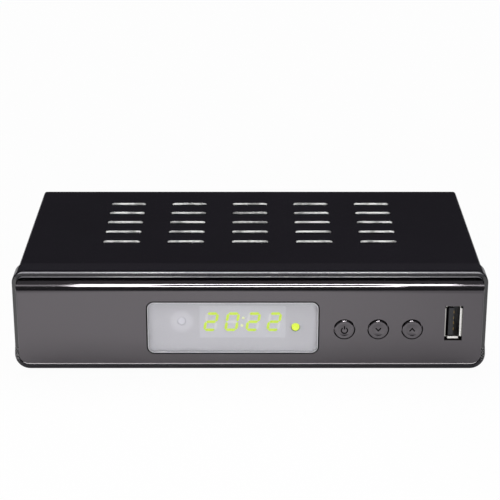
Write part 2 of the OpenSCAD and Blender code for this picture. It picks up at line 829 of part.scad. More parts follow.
// Rectangle with its two upper corners rounded, as a folded sheet has
module round_top(w, h, r) {
    translate([-w / 2, 0]) square([w, h - r]);
    translate([-w / 2 + r, 0]) square([w - 2 * r, h]);
    for (side = [-1, 1]) translate([side * (w / 2 - r), h - r]) circle(r);
}

// The same with its two lower corners rounded
module round_foot(w, h, r) {
    translate([0, h]) mirror([0, 1]) round_top(w, h, r);
}

// Bar with round ends, along X
module obround(l, w) {
    square([l - w, w], center = true);
    for (side = [-1, 1]) translate([side * (l - w) / 2, 0]) circle(w / 2);
}

// Rectangle of reach by depth whose far front corner is rounded
module edge_profile(reach, depth, edge) {
    difference() {
        square([reach, depth]);
        difference() {
            translate([reach - edge, -cut]) square(edge + cut);
            translate([reach - edge, edge]) circle(edge);
        }
    }
}

// Bar along X with its upper front edge rounded
module edge_bar(w, reach, depth, edge) {
    along_x(-w / 2, w / 2) rotate(90) mirror([0, 1]) edge_profile(reach, depth, edge);
}

// Quarter of a turned corner with its front edge rounded
module pad_corner(r, depth, edge) {
    rotate([90, 0, 0]) mirror([0, 0, 1]) rotate_extrude(angle = 90) edge_profile(r, depth, edge);
}

// Rounded plate facing the front, with its front edge rounded all round
module pad(w, h, depth, r_top, r_low, edge) {
    both_sides() {
        translate([w / 2 - r_top, 0, h - r_top]) pad_corner(r_top, depth, edge);
        translate([w / 2 - r_low, 0, r_low]) mirror([0, 0, 1]) pad_corner(r_low, depth, edge);
        translate([0, 0, r_low]) linear_extrude(h - r_top - r_low) edge_profile(w / 2, depth, edge);
    }
    translate([0, 0, h - r_top]) edge_bar(w - 2 * r_top, r_top, depth, edge);
    translate([0, 0, r_low]) mirror([0, 0, 1]) edge_bar(w - 2 * r_low, r_low, depth, edge);
}

// Bank of slots through a level sheet
module vent_bank(cols, z0, z1) {
    for (col = [0:cols - 1], row = [0:vent_rows - 1])
        translate([(col - (cols - 1) / 2) * vent_col_pitch, vent_start + row * vent_row_pitch, z0])
            linear_extrude(z1 - z0) obround(vent_len, vent_w);
}

// Pan-head screw pointing along -Z, with its head standing on z = 0 and a cross recess
module screw(shank_r, head_r, length) {
    recess_l = 2 * (head_r - 2 * head_taper);
    difference() {
        cylinder(r1 = head_r, r2 = head_r - head_taper, h = head_h);
        for (turn = [0, 90]) rotate(turn)
            translate([-recess_l / 2, -recess_w / 2, head_h / 2]) cube([recess_l, recess_w, head_h]);
    }
    translate([0, 0, -length]) cylinder(r = shank_r, h = length);
}

// Steel case

// Holes along X through both sides of the case
module cover_screw_holes(r) {
    for (y = cover_screw_ys)
        translate([-case_w, y, cover_screw_z]) rotate([0, 90, 0]) cylinder(r = r, h = 2 * case_w);
}

// Folded tray with a rear wall for the sockets and standoffs for the main board
module bottom_chassis() {
    color("silver") difference() {
        union() {
            translate([0, 0, base_z]) {
                along_y(bezel_d, case_d) difference() {
                    round_foot(chassis_w, side_lip_h, fold_r);
                    translate([0, sheet_t])
                        round_foot(chassis_w - 2 * sheet_t, side_lip_h, fold_r - sheet_t);
                }
                along_y(rear_in, case_d) round_foot(chassis_w, rear_top - base_z, fold_r);
                along_y(bezel_d, bezel_d + sheet_t) round_foot(chassis_w, front_lip_h, fold_r);
            }
            for (p = fixings) translate([p[0], p[1], base_top]) cylinder(r = standoff_r, h = standoff_h);
        }
        for (p = fixings) translate([p[0], p[1], base_z - cut])
            cylinder(r = board_screw_r + thread_gap, h = main_z - base_z + 2 * cut);
        vent_bank(base_vent_cols, base_z - cut, base_top + cut);
        cover_screw_holes(cover_screw_r + thread_gap);
        for (x = hook_xs)
            block([x - hook_w / 2 - hook_gap, bezel_d - cut, hook_z - hook_gap],
                  [x + hook_w / 2 + hook_gap, bezel_d + sheet_t + cut, hook_z + hook_t + hook_gap]);
        both_sides() {
            block([side_hook_x - cut, side_hook_y - hook_gap, side_hook_z - hook_gap],
                  [case_w, side_hook_y + barb_l + hook_gap, side_hook_z + side_hook_h + hook_gap]);
            block([side_hook_x - hook_t - hook_gap, bezel_d - cut, side_hook_z - hook_gap],
                  [side_hook_x + hook_gap, bezel_d + sheet_t + cut, side_hook_z + side_hook_h + hook_gap]);
        }
        rear_cut_outs();
    }
}

// Openings in the rear wall for the sockets
module rear_cut_outs() {
    y0 = rear_in - cut;
    y1 = case_d + cut;
    for (x = [aerial_in_x, aerial_out_x]) at_xz(x, aerial_z) rod_y(aerial_flange_r + socket_gap, y0, y1);
    at_xz(audio_x, audio_z) rod_y(audio_shoulder_r + socket_gap, y0, y1);
    at_xz(video_x, main_top) along_y(y0, y1) video_outline(socket_gap);
    at_xz(av_x, av_z) along_y(y0, y1) av_outline(-socket_gap);
    block([inlet_x - inlet_w / 2 - socket_gap, y0, main_top - socket_gap],
          [inlet_x + inlet_w / 2 + socket_gap, y1, main_top + inlet_h + socket_gap]);
}

// Folded cover with banks of slots, and tongues that reach under the front frame
module top_cover() {
    tongue_y0 = cover_y - tongue_d;
    tongue_y1 = cover_y + tongue_lap;
    color("#1e1c20") difference() {
        union() {
            translate([0, 0, base_z]) along_y(cover_y, case_d) difference() {
                round_top(case_w, case_h, fold_r);
                translate([0, -cut])
                    round_top(case_w - 2 * sheet_t, case_h + cut - sheet_t, fold_r - sheet_t);
            }
            block([-tongue_half, tongue_y0, cover_top - 2 * sheet_t],
                  [tongue_half, tongue_y1, cover_top - sheet_t]);
            both_sides()
                block([case_w / 2 - 2 * sheet_t, tongue_y0, lip_top + slip],
                      [case_w / 2 - sheet_t, tongue_y1, cover_top - tongue_end]);
        }
        vent_bank(vent_cols, cover_top - sheet_t - cut, cover_top + cut);
        cover_screw_holes(cover_screw_r + shank_gap);
    }
}

module rubber_feet() {
    color("#202020") for (y = [bezel_d + foot_end, case_d - foot_end]) both_sides()
        translate([case_w / 2 - foot_side, y, 0]) {
            cylinder(r1 = foot_r - foot_chamfer, r2 = foot_r, h = foot_chamfer);
            translate([0, 0, foot_chamfer]) cylinder(r = foot_r, h = foot_h - foot_chamfer);
        }
}

module cover_screws() {
    color("#2a2a2c") for (y = cover_screw_ys) both_sides()
        translate([case_w / 2, y, cover_screw_z]) rotate([0, 90, 0])
            screw(cover_screw_r, cover_head_r, 2 * sheet_t + slip + cover_screw_out);
}

// Front moulding

// Outline of the fascia, drawn in by a margin and up by a rise
module fascia_outline(margin, rise = 0) {
    h = fascia_h + rise - 2 * margin;
    translate([0, fascia_z + margin])
        rounded(fascia_w - 2 * margin, h, fascia_r_top - margin, fascia_r_low - margin);
}

// Outline of the frame, drawn in by a margin
module bezel_outline(margin) {
    translate([0, bezel_z + margin])
        rounded(bezel_w - 2 * margin, bezel_h - 2 * margin, bezel_r_top - margin, bezel_r_low - margin);
}

// Snap hook behind the frame's lower edge, with its barb behind the chassis' front
module lower_hook() {
    along_x(-hook_w / 2, hook_w / 2) {
        translate([wall_back - cut, hook_z]) square([hook_y + barb_l - wall_back + cut, hook_t]);
        polygon([[hook_y, hook_z], [hook_y, hook_z - barb_h], [hook_y + barb_l, hook_z]]);
    }
}

// Snap hook at the right side, with its barb in the chassis' side
module side_hook() {
    translate([0, 0, side_hook_z]) linear_extrude(side_hook_h) {
        translate([side_hook_x - hook_t, wall_back - cut])
            square([hook_t, side_hook_y + barb_l - wall_back + cut]);
        polygon([[side_hook_x, side_hook_y], [side_hook_x + hook_gap + barb_h, side_hook_y],
                 [side_hook_x, side_hook_y + barb_l]]);
    }
}

// Opening round the USB socket, through walls from y0 to y1
module usb_opening(y0, y1) {
    block([usb_x - usb_w / 2 - usb_gap, y0, usb_z - usb_h / 2 - usb_gap],
          [usb_x + usb_w / 2 + usb_gap, y1, usb_z + usb_h / 2 + usb_gap]);
}

// Ledge under the top of the rim, which thins out round the corners above the fascia
module rim_ledge() {
    ledge_y = rim_set - ledge_out;
    corner_z = bezel_h - bezel_r_top;
    translate([0, 0, bezel_z]) intersection() {
        translate([0, ledge_y, rim_w])
            pad(bezel_w - 2 * rim_w, bezel_h - 2 * rim_w, fascia_d - ledge_y,
                bezel_r_top - rim_w, bezel_r_low - rim_w, ledge_edge);
        block([-bezel_w / 2, ledge_y - cut, corner_z], [bezel_w / 2, fascia_d + cut, bezel_h]);
    }
}

// Chin of the rim, which comes forward under the fascia and runs back up its sides
module rim_chin() {
    chin_y = rim_set - chin_out;
    chin_back = rim_set + rim_edge;
    chin_top = chin_drop + rim_w;
    translate([0, 0, bezel_z - chin_drop]) intersection() {
        translate([0, chin_y, 0])
            pad(bezel_w, bezel_h, chin_back - chin_y, bezel_r_top, bezel_r_low, chin_edge);
        along_x(-bezel_w / 2, bezel_w / 2)
            polygon([[chin_y - cut, -cut], [chin_back, -cut], [chin_back, chin_top + chin_rise],
                     [chin_y - cut, chin_top]]);
    }
}

// Frame with a rim round the fascia, a wall behind it and the hooks that snap into the chassis
module front_bezel() {
    wall_y0 = fascia_d - cut;
    wall_y1 = wall_back + cut;
    color("#201e22") difference() {
        union() {
            difference() {
                union() {
                    translate([0, rim_set, bezel_z])
                        pad(bezel_w, bezel_h, bezel_d - rim_set, bezel_r_top, bezel_r_low, rim_edge);
                    rim_ledge();
                    rim_chin();
                }
                along_y(-cut, fascia_d) fascia_outline(-slip, ledge_gap);
                along_y(wall_back, bezel_d + cut) bezel_outline(bezel_wall);
                block([-tongue_half - slip, cover_y - tongue_d - slip, cover_top - 2 * sheet_t - slip],
                      [tongue_half + slip, bezel_d + cut, cover_top - sheet_t + slip]);
            }
            for (p = front_screws) at_xz(p[0], p[1]) rod_y(boss_r, wall_back - cut, board_y);
            for (x = hook_xs) translate([x, 0, 0]) lower_hook();
            both_sides() side_hook();
            for (x = rib_xs)
                block([x - rib_t / 2, wall_back - cut, bezel_z + bezel_wall / 2],
                      [x + rib_t / 2, wall_back + rib_d, cover_top - 2 * sheet_t - 2 * slip]);
        }
        block([eye_x - eye_w / 2 - opening_gap, wall_y0, display_z - display_h / 2 - opening_gap],
              [lamp_x + lamp_r + collar_w + opening_gap, wall_y1, display_z + display_h / 2 + opening_gap]);
        for (x = button_xs) at_xz(x, button_z) rod_y(stem_r + button_gap, wall_y0, wall_y1);
        usb_opening(wall_y0, wall_y1);
        for (p = front_screws) at_xz(p[0], p[1])
            rod_y(board_screw_r + thread_gap, wall_back - bezel_wall / 2, board_y + cut);
        for (x = stake_xs, z = stake_zs) at_xz(x, z) rod_y(stake_r + thread_gap, wall_y0, wall_y1);
        along_y(rim_set + groove_set, rim_set + groove_set + groove_w) difference() {
            bezel_outline(-cut);
            bezel_outline(groove_d);
        }
    }
}

// Hollow fascia with a rolled top edge, staked to the frame
module fascia_plate() {
    key_x = key_w / 2 + button_gap;
    key_z = button_z - flange_r - button_gap;
    color("#5c585c") {
        difference() {
            translate([0, 0, fascia_z]) intersection() {
                pad(fascia_w, fascia_h, fascia_d, fascia_r_top, fascia_r_low, fascia_edge);
                edge_bar(fascia_w, fascia_h, fascia_d, roll_r);
            }
            intersection() {
                along_y(fascia_wall, fascia_d + cut) fascia_outline(fascia_wall);
                translate([0, fascia_wall, fascia_z])
                    edge_bar(fascia_w, fascia_h - fascia_wall, fascia_d, roll_r - fascia_wall);
            }
            at_xz(window_x, window_z) along_y(-cut, fascia_wall + cut) window_outline(0);
            at_xz(window_x, window_z) along_y(fascia_wall, fascia_d) window_outline(window_lip + slip);
            for (x = button_xs) at_xz(x, button_z) rod_y(button_r + button_gap, -cut, fascia_wall + cut);
            usb_opening(-cut, fascia_d + cut);
        }
        for (x = stake_xs, z = stake_zs) at_xz(x, z) rod_y(stake_r, fascia_wall, wall_back + stake_out);
        for (x = button_xs) translate([x, 0, key_z]) both_sides()
            block([key_x, fascia_wall, -key_out], [key_x + rib_t, flange_y + button_travel, 0]);
    }
}

// Outline of the window about its middle, drawn out by a margin
module window_outline(margin) {
    translate([0, -window_h / 2 - margin])
        rounded(window_w + 2 * margin, window_h + 2 * margin, window_r + margin, window_r + margin);
}

// Lens that stands a little proud, with a lip behind the fascia
module display_window() {
    lens_h = window_h - 2 * window_gap;
    lens_r = window_r - window_gap;
    color("#b8b8be") {
        translate([window_x, -window_proud, window_z - lens_h / 2])
            pad(window_w - 2 * window_gap, lens_h, fascia_wall + window_proud, lens_r, lens_r, window_edge);
        at_xz(window_x, window_z)
            along_y(fascia_wall, fascia_wall + window_lip_t) window_outline(window_lip);
    }
}

// Push buttons

// Cap with its retaining flange, its key and the stem that works the switch
module push_button(index) {
    color("#57545a") at_xz(button_xs[index], button_z) {
        difference() {
            translate([0, -button_proud, 0])
                turned_y() edge_profile(button_r, fascia_wall + button_proud, button_edge);
            translate([0, dish_d - button_proud - dish_ball_r, 0]) sphere(dish_ball_r);
        }
        rod_y(flange_r, fascia_wall, flange_y);
        block([-key_w / 2, fascia_wall, -flange_r - key_out], [key_w / 2, flange_y, 0]);
        rod_y(stem_r, flange_y, plunger_y);
    }
}

module power_button() {
    push_button(0);
}

module channel_down_button() {
    push_button(1);
}

module channel_up_button() {
    push_button(2);
}

// Sprung plunger of a tact switch
module switch_plunger(index) {
    color("#d8d4c4") at_xz(button_xs[index], button_z) rod_y(plunger_r, plunger_y, switch_y + plunger_in);
}

module power_plunger() {
    switch_plunger(0);
}

module channel_down_plunger() {
    switch_plunger(1);
}

module channel_up_plunger() {
    switch_plunger(2);
}

module button_switches() {
    bore_y = switch_y + plunger_in + button_travel + 2 * plunger_gap;
    color("#2b2b2e") for (x = button_xs) at_xz(x, button_z) difference() {
        block([-switch_w / 2, switch_y, -switch_w / 2], [switch_w / 2, board_y, switch_w / 2]);
        rod_y(plunger_r + plunger_gap, switch_y - cut, bore_y);
    }
}

// Front board and what stands on it

module front_board() {
    y0 = board_y - cut;
    y1 = board_y + board_t + cut;
    color("#2f6b3a") difference() {
        block([front_x0, board_y, front_z0], [front_x1, board_y + board_t, front_z1]);
        for (p = front_screws) at_xz(p[0], p[1]) rod_y(board_screw_r + shank_gap, y0, y1);
        link_rows(thread_gap, y0, y1);
    }
}

module front_board_screws() {
    color("#b9b9bc") for (p = front_screws) translate([p[0], board_y + board_t, p[1]]) rotate([-90, 0, 0])
        screw(board_screw_r, board_head_r, board_t + board_y - wall_back - board_screw_tip);
}

// Points of a digit's hexagonal bars, slanted with the digit
function bar_points(l, w) = [[-l / 2, 0], [(w - l) / 2, w / 2], [(l - w) / 2, w / 2],
                             [l / 2, 0], [(l - w) / 2, -w / 2], [(w - l) / 2, -w / 2]];
function slanted(p) = [p[0] + p[1] * tan(digit_slant), p[1]];
function level_bar(l, z) = [for (p = bar_points(l, segment_w)) slanted([p[0], p[1] + z])];
function upright_bar(l, x, z) = [for (p = bar_points(l, segment_w)) slanted([p[1] + x, p[0] + z])];

// Segments a to g of one digit, clockwise from the top with the middle bar last
function segment_bar(name) =
    let (across = digit_w - segment_w, up = (digit_h - segment_w) / 2)
    name == "a" ? level_bar(across - segment_gap, up) :
    name == "b" ? upright_bar(up - segment_gap, across / 2, up / 2) :
    name == "c" ? upright_bar(up - segment_gap, across / 2, -up / 2) :
    name == "d" ? level_bar(across - segment_gap, -up) :
    name == "e" ? upright_bar(up - segment_gap, -across / 2, -up / 2) :
    name == "f" ? upright_bar(up - segment_gap, -across / 2, up / 2) :
    level_bar(across - segment_gap, 0);

// Segments that the figures 0 to 9 light
lit_names = ["abcdef", "bc", "abdeg", "abcdg", "bcfg", "acdfg", "acdefg", "abc", "abcdefg", "abcdfg"];
function is_lit(name, figure) = len(search(name, lit_names[figure])) > 0;

// Segments of all the digits that are lit, or that aren't
module digit_segments(lit) {
    for (i = [0:3]) at_xz(display_x + (i - 1.5) * digit_pitch, display_z)
        for (name = ["a", "b", "c", "d", "e", "f", "g"]) if (is_lit(name, shown_digits[i]) == lit)
            along_y(digit_y, digit_y + segment_t) polygon(segment_bar(name));
}

// Dots between the hours and the minutes
module colon() {
    for (z = [-1, 1] * colon_pitch / 2)
        at_xz(display_x + z * tan(digit_slant), display_z + z)
            rod_y(colon_r, digit_y, digit_y + segment_t);
}

module display_module() {
    color("#c9c9cc") difference() {
        block([display_x - display_w / 2, digit_y + segment_proud, display_z - display_h / 2],
              [display_x + display_w / 2, board_y, display_z + display_h / 2]);
        digit_segments(true);
        digit_segments(false);
        colon();
    }
}

module lit_segments() {
    color("#c8e632") digit_segments(true);
}

module unlit_segments() {
    color("#a9aaa4") {
        digit_segments(false);
        colon();
    }
}

// Lead from a piece at y0 to the front board
module lead(x, y0) {
    block([x - lead_t / 2, y0, -lead_t / 2], [x + lead_t / 2, board_y, lead_t / 2]);
}

// Round lamp with a flat tip, a collar and two leads
module status_led() {
    collar_y = digit_y + lamp_l;
    lead_y = collar_y + collar_t;
    color("#b4dc28") at_xz(lamp_x, lamp_z) {
        translate([0, digit_y, 0]) turned_y() edge_profile(lamp_r, lamp_l, lamp_edge);
        rod_y(lamp_r + collar_w, collar_y, lead_y);
        for (side = [-1, 1]) lead(side * lead_pitch / 2, lead_y);
    }
}

// Remote receiver with a domed lens behind the window and three leads
module ir_receiver() {
    lens_y = digit_y + segment_proud;
    body_y = lens_y + eye_bulge;
    color("#1c1a20") at_xz(eye_x, eye_z) {
        block([-eye_w / 2, body_y, -eye_h / 2], [eye_w / 2, body_y + eye_d, eye_h / 2]);
        translate([0, lens_y, 0]) turned_y() edge_profile(eye_r, eye_bulge, eye_bulge);
        for (i = [-1:1]) lead(i * eye_pitch, body_y + eye_d);
    }
}

// USB socket

// Outline of the shell, drawn in by a margin
module usb_outline(margin) {
    translate([usb_x, usb_z - usb_h / 2 + margin])
        rounded(usb_w - 2 * margin, usb_h - 2 * margin, usb_corner - margin, usb_corner - margin);
}

// Section of a flared lip about the outside of the shell's wall, from the tube to the mouth
module usb_lip_section() {
    polygon([[0, usb_lip_l], [-usb_wall, usb_lip_l], [usb_flare - usb_wall, 0], [usb_flare, 0]]);
}

// Folded tube with a flared lip at each side of its mouth
module usb_shell() {
    lip_w = usb_w - 2 * usb_corner;
    lip_h = usb_h - 2 * usb_corner;
    color("#c4c4c8") {
        along_y(usb_set + usb_lip_l, board_y) difference() {
            usb_outline(0);
            usb_outline(usb_wall);
        }
        translate([usb_x, usb_set, usb_z]) {
            both_sides() translate([usb_w / 2, 0, -lip_h / 2]) linear_extrude(lip_h) usb_lip_section();
            for (turn = [-90, 90]) rotate([0, turn, 0]) translate([usb_h / 2, 0, -lip_w / 2])
                linear_extrude(lip_w) usb_lip_section();
        }
    }
}

module usb_tongue() {
    color("#8b8b90") {
        along_y(usb_base_y, board_y) usb_outline(usb_wall);
        block([usb_tongue_x0, usb_tongue_y, usb_z - usb_tongue_w / 2],
              [usb_tongue_x1, usb_base_y, usb_z + usb_tongue_w / 2]);
    }
}

module usb_contacts() {
    color("gold") for (z = usb_contact_zs)
        block([usb_tongue_x1, usb_tongue_y + usb_contact_set, usb_z + z - usb_contact_w / 2],
              [usb_tongue_x1 + usb_contact_t, usb_base_y, usb_z + z + usb_contact_w / 2]);
}

// Main board and what stands on it

module main_board() {
    color("#2f6b3a") difference() {
        block([-board_w / 2, main_y0, main_z], [board_w / 2, main_y1, main_top]);
        for (p = fixings) translate([p[0], p[1], main_z - cut])
            cylinder(r = board_screw_r + shank_gap, h = board_t + 2 * cut);
    }
}

module main_board_screws() {
    color("#b9b9bc") for (p = fixings) translate([p[0], p[1], main_top])
        screw(board_screw_r, board_head_r, board_t + standoff_h - board_screw_tip);
}

// Middles of the link's pins
function link_pin_xs() = [for (i = [0:link_count - 1]) link_x + (i - (link_count - 1) / 2) * link_pitch];

// Level runs of the pins, swollen by a margin
module link_rows(margin, y0, y1) {
    half = link_pin_t / 2 + margin;
    for (x = link_pin_xs()) block([x - half, y0, link_z - half], [x + half, y1, link_z + half]);
}

module link_housing() {
    half = link_count * link_pitch / 2;
    color("#1a1a1c") difference() {
        block([link_x - half, link_y, main_top], [link_x + half, link_y + link_d, main_top + link_d]);
        link_rows(0, link_y - cut, link_y + link_d + cut);
    }
}

// Right-angle pins from the front board down to the main board
module link_pins() {
    bend_y0 = link_y + link_d + link_pin_t;
    bend_y1 = bend_y0 + link_pin_t;
    color("gold") {
        link_rows(0, board_y - link_out, bend_y1);
        for (x = link_pin_xs())
            block([x - link_pin_t / 2, bend_y0, main_top], [x + link_pin_t / 2, bend_y1, link_z]);
    }
}

module decoder_chip() {
    color("#1c1c1e") on_board(chip_x, chip_y, chip_size);
}

module heat_sink() {
    sink_z = chip_size[2];
    color("#303034") {
        on_board(chip_x, chip_y, [sink_w, sink_w, sink_base], sink_z);
        for (i = [0:fin_count - 1])
            on_board(chip_x + (i / (fin_count - 1) - 0.5) * (sink_w - fin_t), chip_y,
                     [fin_t, sink_w, sink_h], sink_z);
    }
}

module memory_chip() {
    color("#1c1c1e") on_board(memory_x, chip_y, memory_size);
}

module flash_chip() {
    color("#1c1c1e") on_board(flash_x, chip_y, flash_size);
}

module crystal() {
    color("#c9c9cc") translate([crystal_x, crystal_y, main_top])
        linear_extrude(crystal_h) obround(crystal_l, crystal_w);
}

// Electrolytic cans in line with the power inlet, each with a groove rolled round its foot
module capacitors() {
    color("#23263a") for (i = [0:len(can_offs) - 1])
        translate([inlet_x - can_offs[i], main_y1 - can_in, main_top]) {
            cylinder(r = can_rs[i], h = can_neck);
            translate([0, 0, can_neck]) cylinder(r = can_rs[i] - can_groove, h = can_groove);
            translate([0, 0, can_neck + can_groove])
                cylinder(r = can_rs[i], h = can_hs[i] - can_neck - can_groove);
        }
}

// Round inductors on square bases
module inductors() {
    color("#3a3836") for (off = coil_offs) {
        on_board(inlet_x - off, main_y0 + coil_in, [coil_w, coil_w, coil_base]);
        translate([inlet_x - off, main_y0 + coil_in, main_top]) cylinder(r = coil_w / 2 - slip, h = coil_h);
    }
}

// Surface-mounted regulators, each with a tab behind it
module regulators() {
    tab_y = main_y0 + regulator_in + (regulator_size[1] + tab_size[1]) / 2;
    color("#1c1c1e") for (off = regulator_offs) {
        on_board(inlet_x - off, main_y0 + regulator_in, regulator_size);
        on_board(inlet_x - off, tab_y, tab_size);
    }
}

// Tuner and aerial sockets

// Closed can with a lid whose tabs spring over the sides
module tuner_can() {
    half = tuner_w / 2;
    color("#cfd0d4") translate([tuner_x, 0, 0]) {
        block([-half, tuner_y0, main_top], [half, tuner_y1, tuner_top]);
        block([-half - lid_t, tuner_y0 - lid_t, tuner_top], [half + lid_t, tuner_y1, tuner_top + lid_t]);
        both_sides() for (i = [1:3]) translate([half, tuner_y0 + i * tuner_d / 4, tuner_top])
            block([0, -lid_tab_w / 2, -lid_tab_l], [lid_t, lid_tab_w / 2, 0]);
    }
}

// Sleeve on a flange that closes it against the can
module aerial_sleeve(x, r_out, r_in) {
    color("#c8c8cc") at_xz(x, aerial_z) {
        rod_y(aerial_flange_r, tuner_y1, aerial_sleeve_y);
        tube_y(r_out, r_in, aerial_sleeve_y, aerial_y1);
    }
}

// Insulating disc at the foot of a sleeve
module aerial_insulator(x, r) {
    color("#e6e2d6") at_xz(x, aerial_z) rod_y(r, aerial_sleeve_y, aerial_disc_y);
}

module aerial_input() {
    aerial_sleeve(aerial_in_x, aerial_in_r + aerial_wall, aerial_in_r);
}

module aerial_input_insulator() {
    aerial_insulator(aerial_in_x, aerial_in_r);
}

// Slit tube that grips the plug's pin
module aerial_input_contact() {
    slit_half = aerial_contact_r + cut;
    color("gold") at_xz(aerial_in_x, aerial_z) difference() {
        tube_y(aerial_contact_r, aerial_contact_bore, aerial_disc_y, aerial_y1 - aerial_contact_set);
        block([-slit_half, aerial_disc_y + aerial_unslit, -aerial_slit / 2],
              [slit_half, aerial_y1, aerial_slit / 2]);
    }
}

module aerial_output() {
    aerial_sleeve(aerial_out_x, aerial_out_r, aerial_out_r - aerial_wall);
}

module aerial_output_insulator() {
    aerial_insulator(aerial_out_x, aerial_out_r - aerial_wall);
}

module aerial_output_pin() {
    color("gold") translate([aerial_out_x, aerial_y1, aerial_z]) mirror([0, 1, 0])
        turned_y() edge_profile(aerial_pin_r, aerial_y1 - aerial_disc_y, aerial_pin_edge);
}

// Digital audio socket

// Body with a round shoulder that fills the hole in the rear wall
module audio_socket_body() {
    color("#202024") at_xz(audio_x, audio_z) {
        block([-audio_w / 2, rear_in - audio_d, -audio_h / 2], [audio_w / 2, rear_in, audio_h / 2]);
        rod_y(audio_shoulder_r, rear_in, audio_sleeve_y);
    }
}

module audio_socket_sleeve() {
    color("#c8c8cc") at_xz(audio_x, audio_z)
        tube_y(audio_r, audio_r - audio_wall, audio_sleeve_y, audio_y1);
}

module audio_socket_insert() {
    color("#e07020") at_xz(audio_x, audio_z)
        tube_y(audio_r - audio_wall, audio_bore, audio_sleeve_y, audio_y1 - audio_insert_set);
}

// Video socket

// Outline with its two lower corners cut off, standing on the board, drawn out by a margin
module video_outline(margin) {
    half = video_w / 2 + margin;
    high = video_h + margin;
    polygon([[-half + video_slope, -margin], [half - video_slope, -margin], [half, video_slope - margin],
             [half, high], [-half, high], [-half, video_slope - margin]]);
}

module video_socket_shell() {
    color("#c4c4c8") at_xz(video_x, main_top) along_y(video_y0, video_y1) difference() {
        video_outline(0);
        video_outline(-video_wall);
    }
}

module video_socket_tongue() {
    tongue_z = video_h / 2 + video_tongue_up;
    color("#1a1a1c") at_xz(video_x, main_top) {
        along_y(video_y0, video_y0 + video_base_t) video_outline(-video_wall);
        block([-video_tongue_w / 2, video_y0 + video_base_t, tongue_z - video_tongue_t / 2],
              [video_tongue_w / 2, video_y1 - video_tongue_set, tongue_z + video_tongue_t / 2]);
    }
}

// Audio-video socket

// Outline of the nose about its middle, one end sloped, drawn in by a margin
module av_outline(margin) {
    half = av_w / 2 - av_nose_in - margin;
    rise = av_h / 2 - av_nose_low - margin;
    polygon([[-half, -rise], [half - av_slope, -rise], [half, rise], [-half, rise]]);
}

// Middles of the contact slots, in two rows half a step apart
function av_slots() = [for (row = [-1, 1], i = [0:av_count - 1])
    [(i - (av_count - 1) / 2 + row / 4) * av_pitch - av_shift, row * av_row]];

// Children at the foot of every slot
module at_av_slots() {
    for (p = av_slots()) translate([av_x + p[0], av_y1 - av_slot_d, av_z + p[1]]) children();
}

module av_socket_body() {
    color("#242428") difference() {
        at_xz(av_x, av_z) {
            block([-av_w / 2, rear_in - av_d, -av_h / 2], [av_w / 2, rear_in, av_h / 2]);
            along_y(rear_in, av_y1) av_outline(0);
        }
        at_xz(av_x, av_z) along_y(av_y1 - av_groove_d, av_y1 + cut) difference() {
            av_outline(av_groove);
            av_outline(2 * av_groove);
        }
        at_av_slots()
            block([-av_slot_w / 2, 0, -av_slot_h / 2], [av_slot_w / 2, av_slot_d + cut, av_slot_h / 2]);
    }
}

// Contact leaves that stand on the lower face of their slots
module av_socket_contacts() {
    color("gold") at_av_slots()
        block([-av_leaf_t / 2, 0, -av_slot_h / 2],
              [av_leaf_t / 2, av_slot_d - av_leaf_set, av_slot_h / 2 - slip]);
}

// Power inlet

module power_inlet() {
    color("#1a1a1c") at_xz(inlet_x, inlet_z) difference() {
        block([-inlet_w / 2, inlet_y1 - inlet_d, -inlet_h / 2], [inlet_w / 2, inlet_y1, inlet_h / 2]);
        rod_y(inlet_r, inlet_bore_y, inlet_y1 + cut);
    }
}

module power_inlet_pin() {
    color("#c8c8cc") translate([inlet_x, inlet_y1 - inlet_pin_set, inlet_z]) mirror([0, 1, 0])
        turned_y() edge_profile(inlet_pin_r, inlet_bore_d - inlet_pin_set, inlet_pin_edge);
}

in_place() bottom_chassis();
in_place() top_cover();
in_place() front_bezel();
in_place() fascia_plate();
in_place() display_window();
in_place() power_button();
in_place() channel_down_button();
in_place() channel_up_button();
in_place() power_plunger();
in_place() channel_down_plunger();
in_place() channel_up_plunger();
in_place() button_switches();
in_place() front_board();
in_place() display_module();
in_place() lit_segments();
in_place() unlit_segments();
in_place() status_led();
in_place() ir_receiver();
in_place() usb_shell();
in_place() usb_tongue();
in_place() usb_contacts();
in_place() main_board();
in_place() link_housing();
in_place() link_pins();
in_place() decoder_chip();
in_place() heat_sink();
in_place() memory_chip();
in_place() flash_chip();
in_place() crystal();
in_place() capacitors();
in_place() inductors();
in_place() regulators();
in_place() tuner_can();
in_place() aerial_input();
in_place() aerial_input_insulator();
in_place() aerial_input_contact();
in_place() aerial_output();
in_place() aerial_output_insulator();
in_place() aerial_output_pin();
in_place() audio_socket_body();
in_place() audio_socket_sleeve();
in_place() audio_socket_insert();
in_place() video_socket_shell();
in_place() video_socket_tongue();
in_place() av_socket_body();
in_place() av_socket_contacts();
in_place() power_inlet();
in_place() power_inlet_pin();
in_place() cover_screws();
in_place() front_board_screws();
in_place() main_board_screws();
in_place() rubber_feet();
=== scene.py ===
# Finishes, skins, printed signs and studio for the television receiver
import json
import math

import bmesh
import bpy
from mathutils import Matrix, Vector


